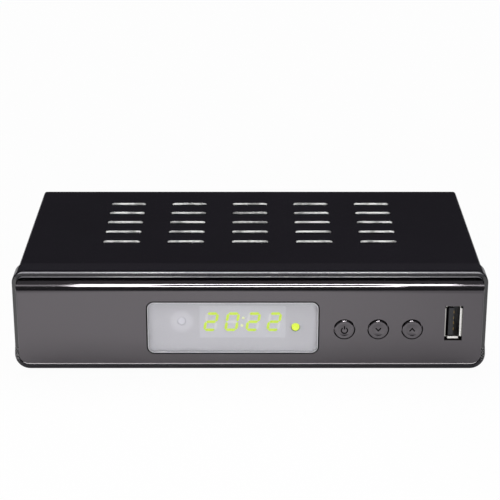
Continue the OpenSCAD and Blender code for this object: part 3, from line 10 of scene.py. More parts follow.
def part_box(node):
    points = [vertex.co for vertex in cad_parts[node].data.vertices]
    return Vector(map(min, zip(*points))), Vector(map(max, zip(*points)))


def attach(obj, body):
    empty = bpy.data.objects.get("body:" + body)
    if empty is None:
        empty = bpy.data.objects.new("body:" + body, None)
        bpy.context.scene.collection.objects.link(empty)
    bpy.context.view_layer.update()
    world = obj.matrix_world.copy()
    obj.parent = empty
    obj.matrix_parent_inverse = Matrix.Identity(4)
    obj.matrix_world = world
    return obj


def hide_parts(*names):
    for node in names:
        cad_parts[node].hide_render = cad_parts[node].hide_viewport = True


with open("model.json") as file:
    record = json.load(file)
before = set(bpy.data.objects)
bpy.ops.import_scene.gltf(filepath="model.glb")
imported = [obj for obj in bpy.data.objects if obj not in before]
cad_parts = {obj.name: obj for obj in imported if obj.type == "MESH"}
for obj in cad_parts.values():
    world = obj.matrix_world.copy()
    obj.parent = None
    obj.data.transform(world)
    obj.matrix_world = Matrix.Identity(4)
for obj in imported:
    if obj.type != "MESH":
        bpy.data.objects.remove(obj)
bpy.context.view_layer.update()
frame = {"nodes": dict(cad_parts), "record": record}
nodes = frame["nodes"]
mm = 0.001  # sizes of pieces and patterns are in millimetres, and the studio's in metres
mergeGap = 0.001 * mm  # points this close to each other, or to a cut, count as one
flatFrom = 0.9999  # a face that points along an axis this closely is flat
print("frame loaded with", len(nodes), "nodes")


def linear(hexColour):
    channels = [int(hexColour[i:i + 2], 16) / 255 for i in (1, 3, 5)]
    return [c / 12.92 if c <= 0.04045 else ((c + 0.055) / 1.055) ** 2.4 for c in channels] + [1]


def perMetre(size):
    return 1 / (size * mm)  # texture scale that gives features of this many millimetres


def addNode(tree, kind, settings={}, links={}):
    node = tree.nodes.new("ShaderNode" + kind)
    for key, value in settings.items():
        if isinstance(key, str) and hasattr(node, key):
            setattr(node, key, value)
        else:
            node.inputs[key].default_value = value
    for key, source in links.items():
        tree.links.new(source, node.inputs[key])
    return node


def startMaterial(name, settings):
    material = bpy.data.materials.new(name)
    material.use_nodes = True
    tree = material.node_tree
    shader = tree.nodes["Principled BSDF"]
    for key, value in settings.items():
        shader.inputs[key].default_value = value
    place = addNode(tree, "TexCoord").outputs["Object"]
    return material, tree, shader, place


def plug(tree, links):
    for source, socket in links:
        tree.links.new(source, socket)


def plugSurface(tree, shader, tint, gloss, bump):
    plug(tree, [
        (tint.outputs[2], shader.inputs["Base Color"]),
        (gloss.outputs["Result"], shader.inputs["Roughness"]),
        (bump.outputs["Normal"], shader.inputs["Normal"]),
    ])


def copyNode(node, flatWithin=0):
    skin = bmesh.new()  # the node's own mesh is loose triangles
    skin.from_mesh(nodes[node].data)
    bmesh.ops.remove_doubles(skin, verts=skin.verts, dist=mergeGap)
    if flatWithin:
        bmesh.ops.dissolve_limit(
            skin, angle_limit=math.radians(flatWithin), verts=skin.verts, edges=skin.edges)
    skin.normal_update()
    return skin


def finishMesh(name, shape, materials, body, smoothUnder=40):
    shape.normal_update()
    for face in shape.faces:
        face.smooth = max(abs(part) for part in face.normal) < flatFrom  # flat beside round edges
    for edge in shape.edges:
        edge.smooth = edge.calc_face_angle(0) < math.radians(smoothUnder)
    mesh = bpy.data.meshes.new(name)
    shape.to_mesh(mesh)
    shape.free()
    for material in materials:
        mesh.materials.append(material)
    piece = bpy.data.objects.new(name, mesh)
    bpy.context.scene.collection.objects.link(piece)
    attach(piece, body)
    return piece


# Pre-painted steel sheet, polyester baked on: satin, with a faint orange peel
satinPaintLook = {
    "colour": "#121015",
    "faded": "#18161c",
    "fadeSize": 60,
    "roughness": (0.19, 0.26),
    "peelSize": 0.8,
    "peelDepth": 0.01,
    "bump": 0.5,
    "ior": 1.5,
}


def satinPaint(name, look):
    material, tree, shader, place = startMaterial(name, {"IOR": look["ior"]})
    fade = addNode(tree, "TexNoise", {"Scale": perMetre(look["fadeSize"]), "Detail": 3}, {"Vector": place})
    tint = addNode(tree, "Mix", {"data_type": "RGBA", 6: linear(look["colour"]), 7: linear(look["faded"])},
                   {0: fade.outputs["Fac"]})
    low, high = look["roughness"]
    gloss = addNode(tree, "MapRange", {"To Min": low, "To Max": high}, {"Value": fade.outputs["Fac"]})
    peel = addNode(tree, "TexNoise", {"Scale": perMetre(look["peelSize"]), "Detail": 2}, {"Vector": place})
    bump = addNode(tree, "Bump", {"Strength": look["bump"], "Distance": look["peelDepth"] * mm},
                   {"Height": peel.outputs["Fac"]})
    plugSurface(tree, shader, tint, gloss, bump)
    return material


# Sheared steel in a punched slot: a bright burnished band over a grey torn one
punchedSteelLook = {
    "bright": "#fafaf8",
    "torn": "#9b9a9a",
    "tornFrom": 0.42,
    "tornTo": 0.62,
    "burrSize": 5,
    "grainSize": 0.35,
    "grainDepth": 0.05,
    "bump": 0.4,
    "roughness": 0.4,
    "specular": 1.0,
}


def punchedSteel(name, look):
    material, tree, shader, place = startMaterial(
        name, {"Roughness": look["roughness"], "Specular IOR Level": look["specular"]})
    burr = addNode(tree, "TexNoise", {"Scale": perMetre(look["burrSize"]), "Detail": 4},
                   {"Vector": place})
    patch = addNode(tree, "MapRange", {"From Min": look["tornFrom"], "From Max": look["tornTo"]},
                    {"Value": burr.outputs["Fac"]})
    tint = addNode(tree, "Mix", {"data_type": "RGBA", 6: linear(look["bright"]), 7: linear(look["torn"])},
                   {0: patch.outputs["Result"]})
    grain = addNode(tree, "TexNoise", {"Scale": perMetre(look["grainSize"]), "Detail": 2}, {"Vector": place})
    bump = addNode(tree, "Bump", {"Strength": look["bump"], "Distance": look["grainDepth"] * mm},
                   {"Height": grain.outputs["Fac"]})
    plug(tree, [
        (tint.outputs[2], shader.inputs["Base Color"]),
        (bump.outputs["Normal"], shader.inputs["Normal"]),
    ])
    return material


# Moulded plastics, epoxies, rubber and ferrite: even colour, and the mould's grain softens the shine; the
# grain is drawn coarser than the real one, so that it shows
plasticBump = 0.5
plainSpecular = 0.5
satinAbsLook = {
    "colour": "#1e1c21", "paler": "#26242a", "grainSize": 0.5, "grainDepth": 0.001,
    "roughness": (0.1, 0.16), "ior": 1.53, "specular": 0.55,
}
socketNylonLook = {
    "colour": "#161618", "paler": "#222226", "grainSize": 0.4, "grainDepth": 0.01,
    "roughness": (0.36, 0.5), "ior": 1.53,
}
naturalNylonLook = {
    "colour": "#d9d3c2", "paler": "#e4dfd1", "grainSize": 0.6, "grainDepth": 0.01,
    "roughness": (0.35, 0.5), "ior": 1.53,
}
tongueNylonLook = {
    "colour": "#2b2c30", "paler": "#37383c", "grainSize": 0.5, "grainDepth": 0.008,
    "roughness": (0.3, 0.42), "ior": 1.53,
}
orangeAbsLook = {
    "colour": "#dc6f21", "paler": "#e57d30", "grainSize": 0.5, "grainDepth": 0.008,
    "roughness": (0.25, 0.38), "ior": 1.53,
}
chipEpoxyLook = {
    "colour": "#1b1b1c", "paler": "#2a2a2b", "grainSize": 0.25, "grainDepth": 0.012,
    "roughness": (0.5, 0.65), "ior": 1.55,
}
footRubberLook = {
    "colour": "#19191a", "paler": "#242425", "grainSize": 0.4, "grainDepth": 0.02,
    "roughness": (0.7, 0.85), "ior": 1.52,
}
displayAbsLook = {
    "colour": "#b5b5b9", "paler": "#bcbcc0", "grainSize": 0.6, "grainDepth": 0.006,
    "roughness": (0.38, 0.5), "ior": 1.53,
}
unlitEpoxyLook = {
    "colour": "#cacaca", "paler": "#d1d1d0", "grainSize": 0.6, "grainDepth": 0.004,
    "roughness": (0.2, 0.3), "ior": 1.55,
}
filterEpoxyLook = {
    "colour": "#bdbcc2", "paler": "#cac9cf", "grainSize": 0.8, "grainDepth": 0.004,
    "roughness": (0.12, 0.2), "ior": 1.55,
}
capSleeveLook = {
    "colour": "#23252f", "paler": "#2d303c", "grainSize": 1.2, "grainDepth": 0.01,
    "roughness": (0.25, 0.4), "ior": 1.54,
}
ferriteLook = {
    "colour": "#353332", "paler": "#46423f", "grainSize": 0.3, "grainDepth": 0.03,
    "roughness": (0.6, 0.75), "ior": 1.6,
}


def mouldedPlastic(name, look):
    material, tree, shader, place = startMaterial(
        name, {"IOR": look["ior"], "Specular IOR Level": look.get("specular", plainSpecular)})
    grain = addNode(tree, "TexNoise", {"Scale": perMetre(look["grainSize"]), "Detail": 3}, {"Vector": place})
    tint = addNode(tree, "Mix", {"data_type": "RGBA", 6: linear(look["colour"]), 7: linear(look["paler"])},
                   {0: grain.outputs["Fac"]})
    low, high = look["roughness"]
    gloss = addNode(tree, "MapRange", {"To Min": low, "To Max": high}, {"Value": grain.outputs["Fac"]})
    bump = addNode(tree, "Bump", {"Strength": plasticBump, "Distance": look["grainDepth"] * mm},
                   {"Height": grain.outputs["Fac"]})
    plugSurface(tree, shader, tint, gloss, bump)
    return material


# High-gloss acrylic over black: mirror smooth, with a slow moulding ripple and fine dust
glossAcrylicLook = {
    "colour": "#161517",
    "dust": "#232224",
    "dustSize": 0.7,
    "speckFrom": 0.6,
    "speckTo": 0.8,
    "roughness": (0.03, 0.07),
    "rippleSize": 26,
    "rippleDepth": 0.004,
    "bump": 0.5,
    "specular": 1.0,
    "ior": 1.66,
    "coat": 0.9,
    "tint": "#fff4fd",
}


def glossAcrylic(name, look):
    material, tree, shader, place = startMaterial(name, {
        "IOR": look["ior"], "Specular IOR Level": look["specular"], "Specular Tint": linear(look["tint"]),
        "Coat Weight": look["coat"]})
    dust = addNode(tree, "TexNoise", {"Scale": perMetre(look["dustSize"]), "Detail": 5}, {"Vector": place})
    speck = addNode(tree, "MapRange", {"From Min": look["speckFrom"], "From Max": look["speckTo"]},
                    {"Value": dust.outputs["Fac"]})
    tint = addNode(tree, "Mix", {"data_type": "RGBA", 6: linear(look["colour"]), 7: linear(look["dust"])},
                   {0: speck.outputs["Result"]})
    low, high = look["roughness"]
    gloss = addNode(tree, "MapRange", {"To Min": low, "To Max": high}, {"Value": dust.outputs["Fac"]})
    ripple = addNode(tree, "TexNoise", {"Scale": perMetre(look["rippleSize"]), "Detail": 1},
                     {"Vector": place})
    bump = addNode(tree, "Bump", {"Strength": look["bump"], "Distance": look["rippleDepth"] * mm},
                   {"Height": ripple.outputs["Fac"]})
    plugSurface(tree, shader, tint, gloss, bump)
    return material


# Clear cast acrylic: polished on both faces, and it lets the lamps through to the print
clearAcrylicLook = {"colour": "#fbfbfc", "roughness": 0.015, "ior": 1.49}


def clearAcrylic(name, look):
    material, tree, shader, place = startMaterial(name, {
        "Base Color": linear(look["colour"]),
        "Roughness": look["roughness"],
        "IOR": look["ior"],
        "Transmission Weight": 1,
    })
    rays = addNode(tree, "LightPath")
    through = addNode(tree, "BsdfTransparent", {"Color": linear(look["colour"])})
    both = addNode(tree, "MixShader", {}, {
        0: rays.outputs["Is Shadow Ray"], 1: shader.outputs["BSDF"], 2: through.outputs["BSDF"]})
    plug(tree, [(both.outputs["Shader"], tree.nodes["Material Output"].inputs["Surface"])])
    return material


# Rounded front edge and underside of the lens: pale colour as a painted highlight
paintedHighlightEdgeLook = {
    "colour": "#f2f2f6", "paler": "#f8f8fb", "grainSize": 0.8, "grainDepth": 0.004,
    "roughness": (0.3, 0.4), "ior": 1.49,
}

# Masking ink round the window, and painted shade on the openings' walls and the lens's flanks: flat black,
# so that the gaps there read as shade
maskInkAndPaintedShadeLook = {
    "colour": "#0b0a0c", "paler": "#100f11", "grainSize": 0.4, "grainDepth": 0.004,
    "roughness": (0.5, 0.65), "ior": 1.5, "specular": 0.2,
}
maskInkAndPaintedShade = mouldedPlastic("blackMaskInkAndPaintedShade", maskInkAndPaintedShadeLook)

# Screen-printed silver ink: a little metallic, thinner round the infrared eye, with flakes that are drawn
# coarser than the real ones, so that they show
silverInkLook = {
    "colour": "#aaa9ad",
    "flake": "#b5b4b8",
    "thin": "#c3c2c6",
    "flakeSize": 0.35,
    "thinRadius": 5.5,
    "thinCore": 0.55,
    "thinShare": 0.7,
    "roughness": 0.42,
    "metallic": 0.1,
}


def silverInk(name, look, eye):
    material, tree, shader, place = startMaterial(
        name, {"Metallic": look["metallic"], "Roughness": look["roughness"]})
    flake = addNode(tree, "TexVoronoi", {"Scale": perMetre(look["flakeSize"])}, {"Vector": place})
    ink = addNode(tree, "Mix", {"data_type": "RGBA", 6: linear(look["colour"]), 7: linear(look["flake"])},
                  {0: flake.outputs["Distance"]})
    away = addNode(tree, "VectorMath", {"operation": "DISTANCE", 1: eye}, {0: place})
    thin = addNode(tree, "MapRange", {
        "interpolation_type": "SMOOTHSTEP", "From Min": look["thinRadius"] * look["thinCore"] * mm,
        "From Max": look["thinRadius"] * mm, "To Min": look["thinShare"], "To Max": 0},
        {"Value": away.outputs["Value"]})
    tint = addNode(tree, "Mix", {"data_type": "RGBA", 7: linear(look["thin"])},
                   {0: thin.outputs["Result"], 6: ink.outputs[2]})
    plug(tree, [(tint.outputs[2], shader.inputs["Base Color"])])
    return material


# Lit epoxy: the colour comes from the light behind it, a little weaker where the chip is far
litEpoxyLook = {
    "colour": "#d3ee35", "weak": "#c2e022", "body": "#20260a", "patchSize": 1.5, "strength": 1.0,
    "roughness": 0.25,
}
lampEpoxyLook = {**litEpoxyLook, "colour": "#eaff2e", "weak": "#dcf51c", "patchSize": 1.2, "roughness": 0.2}


def litEpoxy(name, look):
    material, tree, shader, place = startMaterial(name, {
        "Base Color": linear(look["body"]), "Roughness": look["roughness"],
        "Emission Strength": look["strength"]})
    patch = addNode(tree, "TexNoise", {"Scale": perMetre(look["patchSize"]), "Detail": 1}, {"Vector": place})
    glow = addNode(tree, "Mix", {"data_type": "RGBA", 6: linear(look["colour"]), 7: linear(look["weak"])},
                   {0: patch.outputs["Fac"]})
    plug(tree, [(glow.outputs[2], shader.inputs["Emission Color"])])
    return material


# Plated or bare metal: one colour, with handling haze in the shine and a drawn grain, coarser than the real
# one so that it shows
metalBump = 0.4
nickelLook = {"colour": "#d8d6d1", "haze": "#bdbbb6", "hazeSize": 3, "grainSize": 0.3,
              "grainDepth": 0.003, "roughness": (0.1, 0.2)}
goldLook = {"colour": "#e6c06a", "haze": "#d2a94e", "hazeSize": 2, "grainSize": 0.3,
            "grainDepth": 0.003, "roughness": (0.2, 0.34)}
tinLook = {"colour": "#cfd0d2", "haze": "#b4b6b9", "hazeSize": 6, "grainSize": 0.4,
           "grainDepth": 0.008, "roughness": (0.28, 0.46)}
zincLook = {"colour": "#c9cbd0", "haze": "#aeb1b8", "hazeSize": 2.5, "grainSize": 0.3,
            "grainDepth": 0.006, "roughness": (0.25, 0.42)}
blackOxideLook = {"colour": "#2b2a2c", "haze": "#3a393b", "hazeSize": 2, "grainSize": 0.3,
                  "grainDepth": 0.01, "roughness": (0.34, 0.5)}
burnishedLook = {"colour": "#eceae6", "haze": "#a9a7a3", "hazeSize": 5, "grainSize": 0.4,
                 "grainDepth": 0.01, "roughness": (0.22, 0.5)}
anodisedLook = {"colour": "#303034", "haze": "#3c3c41", "hazeSize": 4, "grainSize": 0.35,
                "grainDepth": 0.01, "roughness": (0.4, 0.55)}


def platedMetal(name, look):
    material, tree, shader, place = startMaterial(name, {"Metallic": look.get("metallic", 1)})
    haze = addNode(tree, "TexNoise", {"Scale": perMetre(look["hazeSize"]), "Detail": 4}, {"Vector": place})
    tint = addNode(tree, "Mix", {"data_type": "RGBA", 6: linear(look["colour"]), 7: linear(look["haze"])},
                   {0: haze.outputs["Fac"]})
    low, high = look["roughness"]
    gloss = addNode(tree, "MapRange", {"To Min": low, "To Max": high}, {"Value": haze.outputs["Fac"]})
    grain = addNode(tree, "TexNoise", {"Scale": perMetre(look["grainSize"]), "Detail": 2}, {"Vector": place})
    bump = addNode(tree, "Bump", {"Strength": metalBump, "Distance": look["grainDepth"] * mm},
                   {"Height": grain.outputs["Fac"]})
    plugSurface(tree, shader, tint, gloss, bump)
    return material


# Hot-dip galvanised sheet: zinc crystals a few millimetres wide, each with its own shine
galvanisedLook = {
    "bright": "#cfd2d6", "dull": "#bcc0c5", "spangleSize": 2.6, "roughness": (0.34, 0.46),
    "scratchSize": 0.6, "scratchDepth": 0.006,
}


def galvanisedSheet(name, look):
    material, tree, shader, place = startMaterial(name, {"Metallic": 1})
    spangle = addNode(tree, "TexVoronoi", {"Scale": perMetre(look["spangleSize"])}, {"Vector": place})
    shade = addNode(tree, "SeparateColor", {}, {"Color": spangle.outputs["Color"]})
    tint = addNode(tree, "Mix", {"data_type": "RGBA", 6: linear(look["bright"]), 7: linear(look["dull"])},
                   {0: shade.outputs["Red"]})
    low, high = look["roughness"]
    gloss = addNode(tree, "MapRange", {"To Min": low, "To Max": high}, {"Value": shade.outputs["Green"]})
    scratch = addNode(tree, "TexNoise", {"Scale": perMetre(look["scratchSize"]), "Detail": 3},
                      {"Vector": place})
    bump = addNode(tree, "Bump", {"Strength": metalBump, "Distance": look["scratchDepth"] * mm},
                   {"Height": scratch.outputs["Fac"]})
    plugSurface(tree, shader, tint, gloss, bump)
    return material


# Glass-epoxy laminate under green solder resist, with tracks that show through it
laminateLook = {
    "colour": "#1d5a30", "track": "#2f7a43", "trackPitch": 2.4, "tracksAcross": 4, "trackWidth": 0.03,
    "roughness": 0.32, "ior": 1.55, "weaveSize": 0.5, "weaveDepth": 0.01, "bump": 0.3,
}


def greenLaminate(name, look):
    material, tree, shader, place = startMaterial(name, {"Roughness": look["roughness"], "IOR": look["ior"]})
    tracks = addNode(tree, "TexBrick", {
        "Scale": perMetre(look["trackPitch"] * look["tracksAcross"]), "Mortar Size": look["trackWidth"],
        "Color1": linear(look["colour"]), "Color2": linear(look["colour"]),
        "Mortar": linear(look["track"])}, {"Vector": place})
    weave = addNode(tree, "TexNoise", {"Scale": perMetre(look["weaveSize"]), "Detail": 2}, {"Vector": place})
    bump = addNode(tree, "Bump", {"Strength": look["bump"], "Distance": look["weaveDepth"] * mm},
                   {"Height": weave.outputs["Fac"]})
    plug(tree, [
        (tracks.outputs["Color"], shader.inputs["Base Color"]),
        (bump.outputs["Normal"], shader.inputs["Normal"]),
    ])
    return material


# Pad-printed ink on the buttons: matt black, a little uneven
legendInkLook = {
    "colour": "#070608", "paler": "#0d0c0e", "grainSize": 0.3, "grainDepth": 0.004,
    "roughness": (0.55, 0.7), "ior": 1.5, "specular": 0.15,
}

finishes = {
    "galvanised_steel": galvanisedSheet("galvanisedSteel", galvanisedLook),
    "black_paint": satinPaint("satinPolyesterPaint", satinPaintLook),
    "bezel_plastic": mouldedPlastic("satinBlackAbs", satinAbsLook),
    "fascia_gloss": glossAcrylic("glossBlackAcrylic", glossAcrylicLook),
    "window_lens": clearAcrylic("clearAcrylic", clearAcrylicLook),
    "button_plastic": glossAcrylic("glossBlackAbs", glossAcrylicLook),
    "pale_plastic": mouldedPlastic("naturalNylon", naturalNylonLook),
    "socket_plastic": mouldedPlastic("blackSocketNylon", socketNylonLook),
    "board_laminate": greenLaminate("greenLaminate", laminateLook),
    "display_plastic": mouldedPlastic("paleGreyAbs", displayAbsLook),
    "lit_segment": litEpoxy("litYellowGreenEpoxy", litEpoxyLook),
    "unlit_segment": mouldedPlastic("milkyEpoxy", unlitEpoxyLook),
    "lamp_epoxy": litEpoxy("lampEpoxy", lampEpoxyLook),
    "filter_epoxy": mouldedPlastic("paleFilterEpoxy", filterEpoxyLook),
    "plated_shell": platedMetal("nickelPlate", nickelLook),
    "tongue_plastic": mouldedPlastic("greyNylon", tongueNylonLook),
    "contact_gold": platedMetal("goldFlash", goldLook),
    "chip_epoxy": mouldedPlastic("blackMouldingEpoxy", chipEpoxyLook),
    "sink_aluminium": platedMetal("blackAnodisedAluminium", anodisedLook),
    "tin_can": platedMetal("tinnedSteel", tinLook),
    "capacitor_sleeve": mouldedPlastic("shrinkSleeve", capSleeveLook),
    "ferrite": mouldedPlastic("sinteredFerrite", ferriteLook),
    "orange_plastic": mouldedPlastic("orangeAbs", orangeAbsLook),
    "black_screw": platedMetal("blackOxideSteel", blackOxideLook),
    "bright_screw": platedMetal("zincPlatedSteel", zincLook),
    "foot_rubber": mouldedPlastic("blackRubber", footRubberLook),
}
for part in frame["record"]["subparts"]:
    slots = nodes[part["node"]].data.materials
    slots.clear()
    slots.append(finishes[part["material_slot"]])
print("finishes made:", len(finishes))

# Cover as punched: bare metal on the slots' long walls, whose upper edges are rolled over and burnished; the
# slots' round ends keep the black paint as painted shade
coverSkin = {
    "flatWithin": 1, "margin": 8, "wallUnder": 0.1, "rollOver": 0.2, "rollSteps": 3, "paintedShadeEndTurn": 0.85,
}


def makeCoverSkin(look):
    low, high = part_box("top_cover")
    skin = copyNode("top_cover", look["flatWithin"])
    margin = look["margin"] * mm

    def inSlots(point):
        inX = low.x + margin < point.x < high.x - margin
        inY = low.y + margin < point.y < high.y - margin
        return inX and inY

    walls = [f for f in skin.faces
             if abs(f.normal.z) < look["wallUnder"] and inSlots(f.calc_center_median())]
    for wall in walls:
        wall.material_index = 0 if abs(wall.normal.x) > look["paintedShadeEndTurn"] else 1  # painted shade: the round ends keep the black paint, so the bright streaks taper
    ofWalls = dict.fromkeys(e for wall in walls for e in wall.edges)
    rims = [e for e in ofWalls if min(v.co.z for v in e.verts) > high.z - mergeGap]
    rolled = bmesh.ops.bevel(
        skin, geom=rims, offset=look["rollOver"] * mm, offset_type="OFFSET", affect="EDGES",
        segments=look["rollSteps"], profile=0.5, material=-1, clamp_overlap=True)
    for face in rolled["faces"]:
        face.material_index = 0 if abs(face.normal.x) > look["paintedShadeEndTurn"] else 2
    finish = [finishes["black_paint"], punchedSteel("punchedSteel", punchedSteelLook),
              platedMetal("burnishedSteel", burnishedLook)]
    piece = finishMesh("coverSkin", skin, finish, "receiver")
    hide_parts("top_cover")
    print("cover skin:", len(walls), "slot wall faces,", len(rims), "rim edges")


makeCoverSkin(coverSkin)

# Front frame as moulded: satin, with pale colour on its rim and ledge edges as painted highlights, and its
# sides rubbed smooth
bezelSkin = {
    "rimDrop": 0.8, "ledgeDrop": 3.4, "edgeDepth": 4, "highlightTiltFrom": 12, "highlightTiltTo": 62, "sideTurn": 0.25,
    "sideIn": 1.7, "sideFoot": 4, "facesFront": 0.02, "smoothUnder": 15,
}
# Painted highlights: pale colour on the rim's and the ledge's rounded edges, where the strips would shine
paintedHighlightRimLook = {
    **glossAcrylicLook, "colour": "#b4b2b7", "dust": "#c0bec3", "roughness": (0.08, 0.14),
    "rippleDepth": 0.002, "coat": 1.0, "tint": "#ffffff",
}
paintedHighlightLedgeLook = {**paintedHighlightRimLook, "colour": "#88868b", "dust": "#929095"}
rubbedSideLook = {
    **paintedHighlightRimLook, "colour": "#232124", "dust": "#2e2c2f", "roughness": (0.14, 0.2), "specular": 0.7,
    "coat": 0.4,
}


def makeBezelSkin(look):
    low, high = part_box("front_bezel")
    skin = copyNode("front_bezel")
    for face in skin.faces:
        middle = face.calc_center_median()
        if middle.y > low.y + look["edgeDepth"] * mm:
            continue
        tilt = math.degrees(math.atan2(face.normal.z, -face.normal.y))
        # faces tilted towards the strips: these get the painted highlights
        turned = look["highlightTiltFrom"] < tilt < look["highlightTiltTo"] and abs(face.normal.x) < look["sideTurn"]
        onSide = abs(middle.x) > high.x - look["sideIn"] * mm and middle.z > low.z + look["sideFoot"] * mm
        if onSide and face.normal.y < -look["facesFront"]:
            face.material_index = 3
        elif turned and middle.z > high.z - look["rimDrop"] * mm:
            face.material_index = 1
        elif turned and middle.z > high.z - look["ledgeDrop"] * mm:
            face.material_index = 2
    finish = [finishes["bezel_plastic"], glossAcrylic("paintedHighlightRimAbs", paintedHighlightRimLook),
              glossAcrylic("paintedHighlightLedgeAbs", paintedHighlightLedgeLook), glossAcrylic("rubbedAbs", rubbedSideLook)]
    piece = finishMesh("bezelSkin", skin, finish, "receiver", look["smoothUnder"])
    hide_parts("front_bezel")
    print("bezel skin made")


makeBezelSkin(bezelSkin)

# Socket shell as used: its right and lower lips, which guide the plugs, are rubbed matt, and their pale
# colour is a painted highlight
shellSkin = {"lipDepth": 1, "flareFrom": 0.2, "flareTo": 0.7, "turned": 0.3, "smoothUnder": 15}
rubbedPaintedHighlightLook = {"colour": "#f6f5f2", "haze": "#e6e4e0", "hazeSize": 2, "grainSize": 0.3,
              "grainDepth": 0.004, "roughness": (0.3, 0.45), "metallic": 0.25}


def makeShellSkin(look):
    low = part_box("usb_shell")[0]
    skin = copyNode("usb_shell")
    rubbed = 0
    for face in skin.faces:
        onLip = face.calc_center_median().y < low.y + look["lipDepth"] * mm
        guides = face.normal.x < -look["turned"] or face.normal.z > look["turned"]
        if onLip and guides and look["flareFrom"] < -face.normal.y < look["flareTo"]:
            # these lips face the lamps: their pale colour is a painted highlight, besides the rubbed matt
            # finish
            face.material_index = 1
            rubbed += 1
    finish = [finishes["plated_shell"], platedMetal("rubbedNickelPaintedHighlight", rubbedPaintedHighlightLook)]
    piece = finishMesh("shellSkin", skin, finish, "receiver", look["smoothUnder"])
    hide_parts("usb_shell")
    print("shell skin:", rubbed, "faces on the lips")


makeShellSkin(shellSkin)

# Lens as moulded: clear faces, a painted highlight on the rounded edge and underside, and flanks and lip in
# black, which is painted shade round the window
lensSkin = {"flatWithin": 1, "faceOn": 0.97, "edge": 0.45, "lip": 1.6, "turnedDown": 0.5}


def makeLensSkin(look):
    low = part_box("display_window")[0]
    skin = copyNode("display_window", look["flatWithin"])
    for face in skin.faces:
        onFront = max(v.co.y for v in face.verts) < low.y + look["edge"] * mm
        aboveLip = face.calc_center_median().z > low.z + look["lip"] * mm
        underside = face.normal.z < -look["turnedDown"] and aboveLip
        # the rounded front edge and the underside: painted highlight
        if underside or (onFront and face.normal.y > -look["faceOn"]):
            face.material_index = 1
        # flanks and lip: black, painted shade in the gap round the window
        elif not onFront and face.normal.y < look["faceOn"]:
            face.material_index = 2
    finish = [finishes["window_lens"], mouldedPlastic("paintedHighlightLensEdge", paintedHighlightEdgeLook), maskInkAndPaintedShade]
    piece = finishMesh("lensSkin", skin, finish, "receiver")
    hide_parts("display_window")
    print("lens skin made")


makeLensSkin(lensSkin)

# The colon between hours and minutes blinks: its two dots glow faintly among the unlit bars
segmentSkin = {"colonWidth": 2}
halfLitLook = {**litEpoxyLook, "colour": "#e9f0b8", "weak": "#e2eaac"}


def makeSegmentSkin(look):
    low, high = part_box("display_module")
    middle = (low.x + high.x) / 2
    skin = copyNode("unlit_segments")
    glowing = 0
    for face in skin.faces:
        if abs(face.calc_center_median().x - middle) < look["colonWidth"] / 2 * mm:
            face.material_index = 1
            glowing += 1
    finish = [finishes["unlit_segment"], litEpoxy("halfLitEpoxy", halfLitLook)]
    piece = finishMesh("segmentSkin", skin, finish, "receiver")
    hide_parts("unlit_segments")
    print("segment skin:", glowing, "faces on the colon")


makeSegmentSkin(segmentSkin)

# Fascia as moulded: gloss black, with a pale line on its lower edge that is a painted reflection, and
# painted shade in flat black on the walls of the openings for the window and the buttons
fasciaSkin = {
    "flatWithin": 1, "lineHeight": 1.0, "turnedDown": 0.12, "wallUnder": 0.1, "smoothUnder": 20,
    "paintedShadeOpenings": ["display_window", "power_button", "channel_down_button", "channel_up_button"],
}
# Painted reflection: pale colour on the lower edge's rounding
paintedReflectionEdgeLook = {
    "colour": "#e6e1e4", "paler": "#efeaec", "grainSize": 1.5, "grainDepth": 0.002,
    "roughness": (0.12, 0.2), "ior": 1.49,
}


def paintOpeningShade(skin, look, inside):
    low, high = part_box(inside)
    for face in skin.faces:
        middle = face.calc_center_median()
        within = low.x < middle.x < high.x and low.z < middle.z < high.z
        # the openings' walls: flat black, painted shade in the gaps round the window and the caps
        if within and abs(face.normal.y) < look["wallUnder"]:
            face.material_index = 2


def makeFasciaSkin(look):
    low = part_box("fascia_plate")[0]
    skin = copyNode("fascia_plate", look["flatWithin"])
    line = [f for f in skin.faces if f.normal.z < -look["turnedDown"] and f.normal.y < -look["turnedDown"]
            and f.calc_center_median().z < low.z + look["lineHeight"] * mm]
    # these faces get the pale colour: a painted reflection
    for face in line:
        face.material_index = 1
    for inside in look["paintedShadeOpenings"]:
        paintOpeningShade(skin, look, inside)
    finish = [finishes["fascia_gloss"], mouldedPlastic("paintedReflectionEdge", paintedReflectionEdgeLook), maskInkAndPaintedShade]
    piece = finishMesh("fasciaSkin", skin, finish, "receiver", look["smoothUnder"])
    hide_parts("fascia_plate")
    print("fascia skin:", len(line), "faces on the lower edge")


makeFasciaSkin(fasciaSkin)

# Print behind the lens: silver inside, a black border, and openings for the display, the eye and the lamp
windowPrint = {
    "behindDigits": 0.03, "thickness": 0.04, "border": 1.0, "lensInLip": 1.65, "corner": 4,
    "cornerSteps": 8, "overModule": 0.4, "eyeRadius": 1.7, "lampGap": -0.15, "roundSteps": 32,
    "roundCell": 1.3,
}


def allOf(shape):
    return shape.verts[:] + shape.edges[:] + shape.faces[:]


